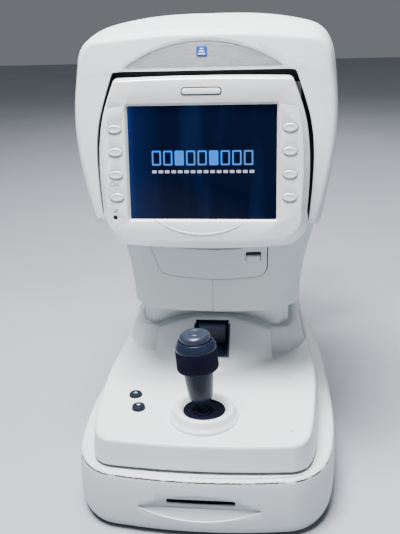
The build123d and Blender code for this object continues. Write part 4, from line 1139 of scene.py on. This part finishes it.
def screen_glow():
    """Lit panel: deep navy, brighter towards the upper left, with faint streaks of reflected room light."""
    n = Nodes("lit_screen")
    axes = n.add("ShaderNodeSeparateXYZ")
    n.link(n.place, axes.inputs[0])
    left = n.ramp(n.math("MULTIPLY", axes.outputs["X"], -8.0), (0.30, (0.0012, 0.0030, 0.022, 1)),
                  (0.50, (0.004, 0.014, 0.085, 1)),
                  (0.56, (0.012, 0.045, 0.24, 1)))
    streak = n.ramp(n.noise(9.0, 2.0, 0.5, (4.0, 1.0, 0.6)), (0.52, (0, 0, 0, 1)),
                    (0.72, (0.004, 0.010, 0.045, 1)))
    n.link(n.mix(1.0, left, streak, "ADD"), n.shader.inputs["Emission Color"])
    n.set(Emission_Strength=0.8, Base_Color=(0.001, 0.002, 0.006, 1), Roughness=0.06, Specular_IOR_Level=0.12)
    return n.material


def lit(name, color, strength):
    n = Nodes(name)
    tone = n.ramp(n.noise(900.0, 1.0), (0.3, rgba(color, 0.85)), (0.7, rgba(color, 1.1)))
    n.link(tone, n.shader.inputs["Emission Color"])
    n.set(Emission_Strength=strength, Base_Color=rgba(color, 0.1), Roughness=0.3)
    return n.material


def screen():
    panel = prism("screen_panel", screen_line(2.6, 2.0), on_bezel, 3.4, 11.5)
    soften(panel, 0.3, 2)
    finish_piece(panel, screen_glow(), "display", "screen", "lcd_module")
    outer, inner = screen_line(1.95, 3.4), screen_line(-0.1, 1.4)
    rows = [on_loop(outer, 5.0), on_loop(outer, 0.35), on_loop(screen_line(1.7, 3.2), 0.2),
            on_loop(inner, 3.2),
            on_loop(inner, 5.0)]
    lip = outward(from_grid("screen_lip", rows, wrap_rows=True))
    finish_piece(lip, SILVER, "display", "bezel_silver", angle=20)
    sky, pale = lit("glyph_blue", (0.03, 0.24, 0.90), 1.2), lit("glyph_pale", (0.70, 0.78, 0.95), 0.9)
    for k in range(9):
        x = -46.5 + 10.6 * k
        bar = rectangle(x, x + 8.6, 328, 341.5, 1.2, 4)
        inside = rectangle(x + 1.5, x + 7.1, 329.5, 340, 0.6, 4)
        if k in FILLED_BARS:
            tile = prism(f"screen_bar_{k}", bar, on_bezel, *BAR_DEPTHS)
        else:
            low, high = BAR_DEPTHS
            rows = [on_loop(bar, high), on_loop(bar, low), on_loop(inside, low), on_loop(inside, high)]
            tile = outward(from_grid(f"screen_bar_{k}", rows, wrap_rows=True))
        finish_piece(tile, sky, "display", "screen")
    for k in range(16):
        x = -46.5 + 6.0 * k
        dash = rectangle(x, x + 4.2, 321.0, 323.6, 0.5, 4)
        finish_piece(prism(f"screen_dash_{k}", dash, on_bezel, *BAR_DEPTHS), pale, "display", "screen")


def bezel_marks():
    pill = rectangle(-18, 18.8, 390.2, 397.4, 3.5, 8)
    inner = rectangle(-17, 17.8, 391.2, 396.4, 2.5, 8)
    finish_piece(prism("plaque_rim", pill, on_bezel, -0.25, 0.6), STICK_GREY, "display", "bezel_silver")
    finish_piece(soften(prism("plaque", inner, on_bezel, -0.6, 0.6), 0.2, 2), CUP, "display", "bezel_silver")
    for name, x, z, r in (("mark_ring_large", -84.0, 311.5, 2.4), ("mark_ring_small", -79.6, 310.8, 1.6)):
        rows = [[on_bezel(x + q * math.cos(t), z + 0.85 * q * math.sin(t), d)
                 for t in np.linspace(0, 2 * math.pi, 28,
                 endpoint=False)] for q, d in ((r, 0.1), (r, -0.08), (r - 0.55, -0.08), (r - 0.55, 0.1))]
        finish_piece(outward(from_grid(name, rows, wrap_rows=True)), STICK_GREY, "display", "bezel_silver")
    for k in range(2):
        low = 285.4 + 1.8 * k
        dash = [(-83.4 + k, low), (-79.9 + k, low), (-79.9 + k, low + 0.7), (-83.4 + k, low + 0.7)]
        finish_piece(prism(f"mark_dash_{k}", dash, on_bezel, -0.08, 0.1), STICK_GREY, "display",
                     "bezel_silver")
    dark = turned_on_bezel("reset_hole_floor", -82.3, 280.1, [(2.9, 3.0), (2.9, 3.6)])
    finish_piece(dark, BLACK, "display", "black_plastic")


display_bezel()
display_keys()
screen()
bezel_marks()

# ------------------------------------------------------------------ joystick
STICK = (1.0, -186.0, 74.0)
STICK_LEAN = math.radians(-3.8)


def leaned(piece):
    """Lean an upright piece, drawn on its own axis, about the crossing of the joystick's axes."""
    turn = Matrix.Translation(Vector(STICK) * MM) @ Matrix.Rotation(STICK_LEAN, 4, "Y")
    piece.data.transform(turn @ Matrix.Translation((0, 0, -STICK[2] * MM)))
    return piece


def ribbed(name, profile, ribs, depth, count):
    """Turned piece whose outer rows carry fine upright ribs; profile rows are (radius, height, share)."""
    rows = []
    for radius, height, share in profile:
        ring = []
        for k in range(count):
            a = 2 * math.pi * k / count
            r = radius - depth * share * (0.5 - 0.5 * math.cos(ribs * a)) ** 0.7
            ring.append((r * math.cos(a), r * math.sin(a), height))
        rows.append(ring)
    return outward(from_grid(name, rows, wrap_rows=True))


def joystick():
    rod = [(0.1, 66), (5.0, 66), (5.3, 67), (5.3, 96), (5.6, 96.8), (5.6, 99.5), (6.2, 100.2), (6.2, 101.6),
           (5.5, 102.3),
           (5.5, 104), (6.1, 104.7), (6.1, 106.2), (5.4, 107), (5.3, 164), (0.1, 164)]
    finish_piece(leaned(turned("stick_stem", fillet_profile(rod, [0] + [0.4] * 13 + [0]), (0, 0, 0), "Z",
                               48)), STICK_DARK,
                 "joystick", "stick_dark", "stick_rod")
    side = c2_spline([(7.0, 107.4), (8.2, 109.2), (9.9, 112.5), (11.5, 117), (12.6, 124), (13.3, 132),
                      (13.75, 140),
                      (13.8, 145)], None, None, 26)
    low = [(5.3, 107), (6.6, 107)] + [tuple(p) for p in side]
    high = fillet_profile([(11.0, 145), (11.0, 166), (19.2, 166), (19.3, 169), (16.4, 174.6), (15.1, 174.6),
                           (15.1, 171),
                           (5.3, 171)], [0, 0, 0.4, 1.2, 0.9, 0.3, 0, 0], 5)
    grip = turned("grip_body", low + high, (0, 0, 0), "Z", 96, closed=True)
    finish_piece(leaned(grip), STICK_GREY, "joystick", "stick_grey", "stick_grip", angle=40)
    ring = [(11.4, 145.4, 0), (18.2, 145.4, 0), (18.9, 145.6, 0.2), (19.5, 146.3, 0.8), (19.8, 147.2, 1),
            (19.8, 152, 1),
            (19.8, 158, 1), (19.8, 163.8, 1), (19.6, 164.8, 0.8), (19.1, 165.5, 0.2), (18.6, 165.6, 0),
            (11.4, 165.6, 0)]
    finish_piece(leaned(ribbed("knurled_ring", ring, 72, 0.75, 432)), STICK_DARK, "height_ring", "stick_dark",
                 "height_ring",
                 angle=50)
    top = fillet_profile([(0.1, 173.2), (14.4, 173.2), (14.4, 178.8), (12.2, 181.0), (6.9, 181.6),
                          (6.5, 181.1),
                          (5.6, 181.1), (5.2, 181.5), (0.1, 181.6)],
                         [0, 0.2, 1.0, 1.2, 0.3, 0.2, 0.2, 0.3, 0], 5)
    finish_piece(leaned(turned("firing_button", top, (0, 0, 0), "Z", 96)), STICK_CAP_LIT, "start_button",
                 "stick_grey",
                 "start_button", angle=30)
    x = STICK[0] + (98.6 - STICK[2]) * math.tan(STICK_LEAN)
    sleeve = fillet_profile([(7.0, 97.2), (9.4, 97.2), (9.4, 99.2), (8.6, 100.8), (7.0, 100.8)],
                            [0, 0.3, 0.6, 0.5, 0])
    finish_piece(turned("grommet_ring", sleeve, (x, STICK[1], 0), "Z", 64, closed=True), STICK_DARK,
                 "dust_grommet",
                 "stick_dark", "dust_grommet")
    plate = [(10.4, 97.8), (23.4, 97.8), (23.4, 98.6), (20.5, 98.85), (20.2, 98.65), (19.6, 98.65),
             (19.3, 98.95),
             (15.5, 99.3), (15.2, 99.1), (14.6, 99.1), (14.3, 99.4), (10.4, 99.8)]
    finish_piece(turned("sliding_disc", plate, (x, STICK[1], 0), "Z", 96, closed=True), STICK_DARK,
                 "dust_disc",
                 "stick_dark", "dust_disc")


# Painted light: the button's colour is a lighter copy of the grip's dark grey, for the light that falls on
# its top.
STICK_CAP_LIT = moulded("stick_cap_lit", (0.017, 0.023, 0.042), rough=0.30, grain=0.12, mottle=0.10)
joystick()

# ------------------------------------------------------------------ keys and lever of the stage
def stage_keys():
    for name, x, y, sign in (("chin_up_key", -72.0, -155.0, 1), ("chin_down_key", -64.7, -178.6, -1)):
        dome = fillet_profile([(0.1, 88), (7.6, 88), (7.6, 90), (6.4, 90), (6.4, 98.2), (5.9, 98.9),
                               (4.6, 99.2), (0.1, 99.2)],
                              [0, 0.2, 0.2, 0.2, 0.4, 0.3, 0.3, 0], 5)
        finish_piece(turned(name + "_cap", dome, (x, y, 0), "Z", 64), KEY_RUBBER, name, "rubber_key", name)
        mark = [(x - 2.1, y - 1.0 * sign), (x + 2.1, y - 1.0 * sign), (x, y + 1.6 * sign)]
        finish_piece(prism(name + "_mark", mark, flat, 99.1, 99.4), MARK_GREY, name, "rubber_key")


def lever():
    side = rounded([(-71.0, 113.4), (-66.0, 112.6), (-62.2, 120), (-61.0, 129.6), (-56.4, 131.4),
                    (-55.8, 136.6), (-62, 138.0),
                    (-68.2, 136.6), (-69.0, 124)], [2.2, 1.6, 4, 2, 2, 1.6, 3, 2.6, 14], 7)
    body = prism("lever_body", side, sideways, -16.4, 13.0)
    for k in range(3):
        z = 116.0 + 2.6 * k
        groove = [(-74, z), (-69.4, z + 0.1), (-69.4, z + 1.1), (-74, z + 1.2)]
        cut(body, prism("grip_groove", groove, sideways, -13.6, 10.2))
    soften(body, 0.7, 3, 50)
    pin = turned("lever_pin", [(0.1, -19.3), (1.5, -19.3), (1.5, 15.9), (0.1, 15.9)], (0, -60, 134), "X", 24)
    join(body, pin)
    finish_piece(body, DARK_TRIM, "lock_lever", "dark_trim", "lock_lever", angle=40)


MARK_GREY = moulded("key_mark", (0.55, 0.62, 0.68), rough=0.5, grain=0.1)
stage_keys()
lever()

# ------------------------------------------------------------------ fixed parts seen through the base
def base_fittings():
    case = prism("reader_case", rectangle(-37, 40, 28, 47.5, 2, 5), upright, -237.4, -172)
    slot = rectangle(-30.5, 33.5, 33.6, 38.4, 1.2, 4)
    cut(case, prism("reader_slot", slot, upright, -240, -182))
    for k in range(6):
        x = -24 + 9.6 * k
        cut(case, box_mesh("reader_rib", x, x + 3.0, -232, -180, 46.0, 49.0))
    finish_piece(soften(case, 0.4, 2), BLACK, "base", "black_plastic", "card_reader")
    for k, (x, y) in enumerate([(-86, -192), (86, -192), (-72, 188), (72, 188)]):
        foot = fillet_profile([(0.1, 1.2), (8.0, 1.2), (8.6, 0.0), (12.0, 0.0), (13.0, 2.2), (12.6, 6.0),
                               (0.1, 6.0)],
                              [0, 0.2, 0.3, 0.8, 1.2, 0.3, 0], 5)
        names = ("rubber_feet",) if k == 0 else ()
        finish_piece(turned(f"foot_{k + 1}", foot, (x, y, 0), "Z", 48), ROLLER, "base", "roller", *names)
    frame_line = lambda g: rectangle(-75 - g, -15 + g, 16 - g, 44 + g, 3 + g, 6)
    body = outward(from_grid("inlet_body", [[(x, y, z) for x, z in frame_line(g)] for g, y in
                                            ((-0.4, 205.5), (-0.4, 223.4), (-0.7, 224.2), (-1.3, 224.5))],
                             cap_ends=True))
    hole = rounded([(-69.5, 21), (-44.5, 21), (-44.5, 35), (-49, 39), (-65, 39), (-69.5, 35)], [1.6] * 6, 5)
    cut(body, prism("inlet_hole", hole, upright, 210, 230),
        prism("rocker_hole", rectangle(-36, -20, 19, 41, 1, 4), upright, 210, 230))
    for x, z in ((-57, 34.5), (-64, 26.5), (-50, 26.5)):
        join(body, soften(box_mesh("pin", x - 1.1, x + 1.1, 209.5, 221.0, z - 2.2, z + 2.2), 0.5, 2))
    finish_piece(soften(body, 0.3, 2), BLACK, "base", "black_plastic", "power_inlet")
    rocker = rounded([(216.5, 20), (223.0, 21.2), (221.6, 30), (224.2, 38.8), (217.5, 40)],
                     [0.6, 0.8, 14, 0.8, 0.6], 6)
    cap = prism("rocker_cap", rocker, sideways, -35.2, -20.8)
    finish_piece(soften(cap, 0.5, 3), CAN, "power_switch", "electrics", "power_switch", angle=40)
    dot = rectangle(-28.4, -27.6, 24.0, 27.4, 0.3, 4)
    finish_piece(prism("rocker_mark", dot, upright, 221.0, 222.75), MARK_GREY, "power_switch", "electrics")


base_fittings()

# ------------------------------------------------------------------ patient side
ARCH = [(76, 61.7), (76, 150), (76, 235), (84, 275), (99, 312), (102, 345), (100, 385), (86, 415), (50, 429),
        (0, 432)]


def face_frame():
    """Loop of soft rectangular section, with the cross band that carries the forehead pad."""
    right = c2_spline(ARCH, np.array((0.0, 1.0)), np.array((-1.0, 0.0)), 110)
    path = np.concatenate([right, (right * (-1, 1))[::-1][1:]])
    t = np.gradient(path, axis=0)
    t /= np.linalg.norm(t, axis=1)[:, None]
    section = rectangle(-10.9, 10.9, -12.9, 12.9, 7.0, 9)
    rows = [[(p[0] + n * d[1], 206.0 + y, p[1] - n * d[0]) for n, y in section] for p, d in zip(path, t)]
    loop = outward(from_grid("frame_loop", rows, cap_ends=True))
    outer, inner = arc3((-93, 221.4), (0, 205.0), (93, 221.4), 60), arc3((93, 217.4), (0, 201.0),
                                                                         (-93, 217.4), 60)
    band = prism("frame_band", np.concatenate([outer, inner]), flat, 380.2, 406.8)
    soften(band, 1.4, 3, 50)
    cut(loop, band, keep="UNION")
    finish_piece(loop, WHITE, "base", "housing", "face_frame", angle=35)


def chin_parts():
    plan = lambda g: rectangle(-64.4 + g, 64.4 - g, 193 + g, 219 - g, max(4 - g, 1), 8)
    rows = [[(x, y, z) for x, y in plan(g)] for g,
            z in ((0.3, 61.7), (0, 62.4), (0, 186), (0.25, 188), (0.9, 189.3),
                                                       (2.0, 189.9), (3.0, 190.0))]
    box = outward(from_grid("chin_column", rows, cap_ends=True))
    cut(box, turned("chin_bore", [(9.5, 96), (9.5, 200)], (0, 206, 0), "Z", 64))
    for side in (-1, 1):
        groove = box_mesh("side_groove", side * 58 - 0.35, side * 58 + 0.35, 218.5, 220, 66, 184)
        cut(box, groove)
    soften(box, 0.5, 2, 50)
    finish_piece(box, WHITE, "base", "housing", "chin_rest_housing", angle=35)
    stem = turned("chin_stem", fillet_profile([(3.1, 136), (8.5, 136), (8.5, 226), (13, 232), (3.1, 232)],
                                              [0, 0.6, 3, 2, 0]), (0, 206, 0), "Z", 64, closed=True)
    rim = rounded([(-36, 186), (36, 186), (36, 247), (-36, 247)], [14, 14, 18, 18], 12)
    mid = np.array((0.0, 216.5))
    shape = lambda s: (rim - mid) * s + mid
    dish = lambda x, y: 236.4 + 8.6 * (x / 36.0) ** 2 + 1.6 * ((y - 216.5) / 30.0) ** 2
    rows = [[(x, y, 231.2) for x, y in shape(0.5)], [(x, y, 231.0) for x, y in shape(0.86)],
            [(x, y, 232.2) for x, y in shape(0.94)]]
    for s, drop in ((0.985, 3.4), (1.0, 1.9), (1.0, 0.8), (0.985, 0.1), (0.955, 0.0), (0.92, 0.5)):
        rows.append([(x, y, min(dish(x, y), 246.6) - drop) for x, y in shape(s)])
    for s in (0.84, 0.72, 0.58, 0.42, 0.24, 0.08):
        rows.append([(x, y, min(dish(x, y), 246.6) - 1.2) for x, y in shape(s)])
    cup = outward(from_grid("chin_cup", rows, cap_ends=True))
    finish_piece(join(cup, stem), CUP, "chin_rest", "cup", "chin_rest", angle=40)


def forehead_pad():
    """Soft silicone pad: crowned strip with rolled edges, bowed like the band that it sits on."""
    rows = []
    for u in np.linspace(-1, 1, 57):
        x = 69.6 * u
        back = 215.1 - 9.1 * (1 - u * u)
        swell = max(1 - abs(u) ** 14, 0.0) ** 0.5
        ring = []
        for k in range(28):
            a = 2 * math.pi * k / 28
            c, s = math.cos(a), math.sin(a)
            depth = 4.3 * math.copysign(abs(c) ** 0.55, c) * (0.35 + 0.65 * swell)
            height = 12.3 * math.copysign(abs(s) ** 0.62, s) * (0.55 + 0.45 * swell)
            ring.append((x, back + 6.6 + depth * (1.0 if c < 0 else 1.0 - 0.10 * abs(s)), 393.5 + height))
        rows.append(ring)
    pad = outward(from_grid("brow_pad", rows, cap_ends=True))
    finish_piece(pad, PAD, "base", "pad", "forehead_pad", angle=60)


def measuring_window():
    bezel = fillet_profile([(31, 96), (46.6, 96), (46.6, 104.9), (49.9, 104.9), (49.9, 107.0), (48.6, 107.5),
                            (44.4, 107.5),
                            (36, 100.4), (31, 100.2)], [0, 0.3, 0.2, 0.4, 0.8, 0.6, 0.8, 0.8, 0], 4)
    finish_piece(turned("window_surround", bezel, (0, 0, WINDOW_Z), "Y", 128, closed=True), BLACK, "head",
                 "window_black",
                 "window_bezel")
    ring = fillet_profile([(24, 93), (30.5, 93), (30.5, 98.2), (29.5, 99), (25, 99), (24, 98.2)],
                          [0, 0, 0.4, 0.4, 0.4, 0], 4)
    finish_piece(turned("mire_light", ring, (0, 0, WINDOW_Z), "Y", 96, closed=True), OPAL, "head", "mire",
                 "mire_ring")


face_frame()
chin_parts()
forehead_pad()
measuring_window()
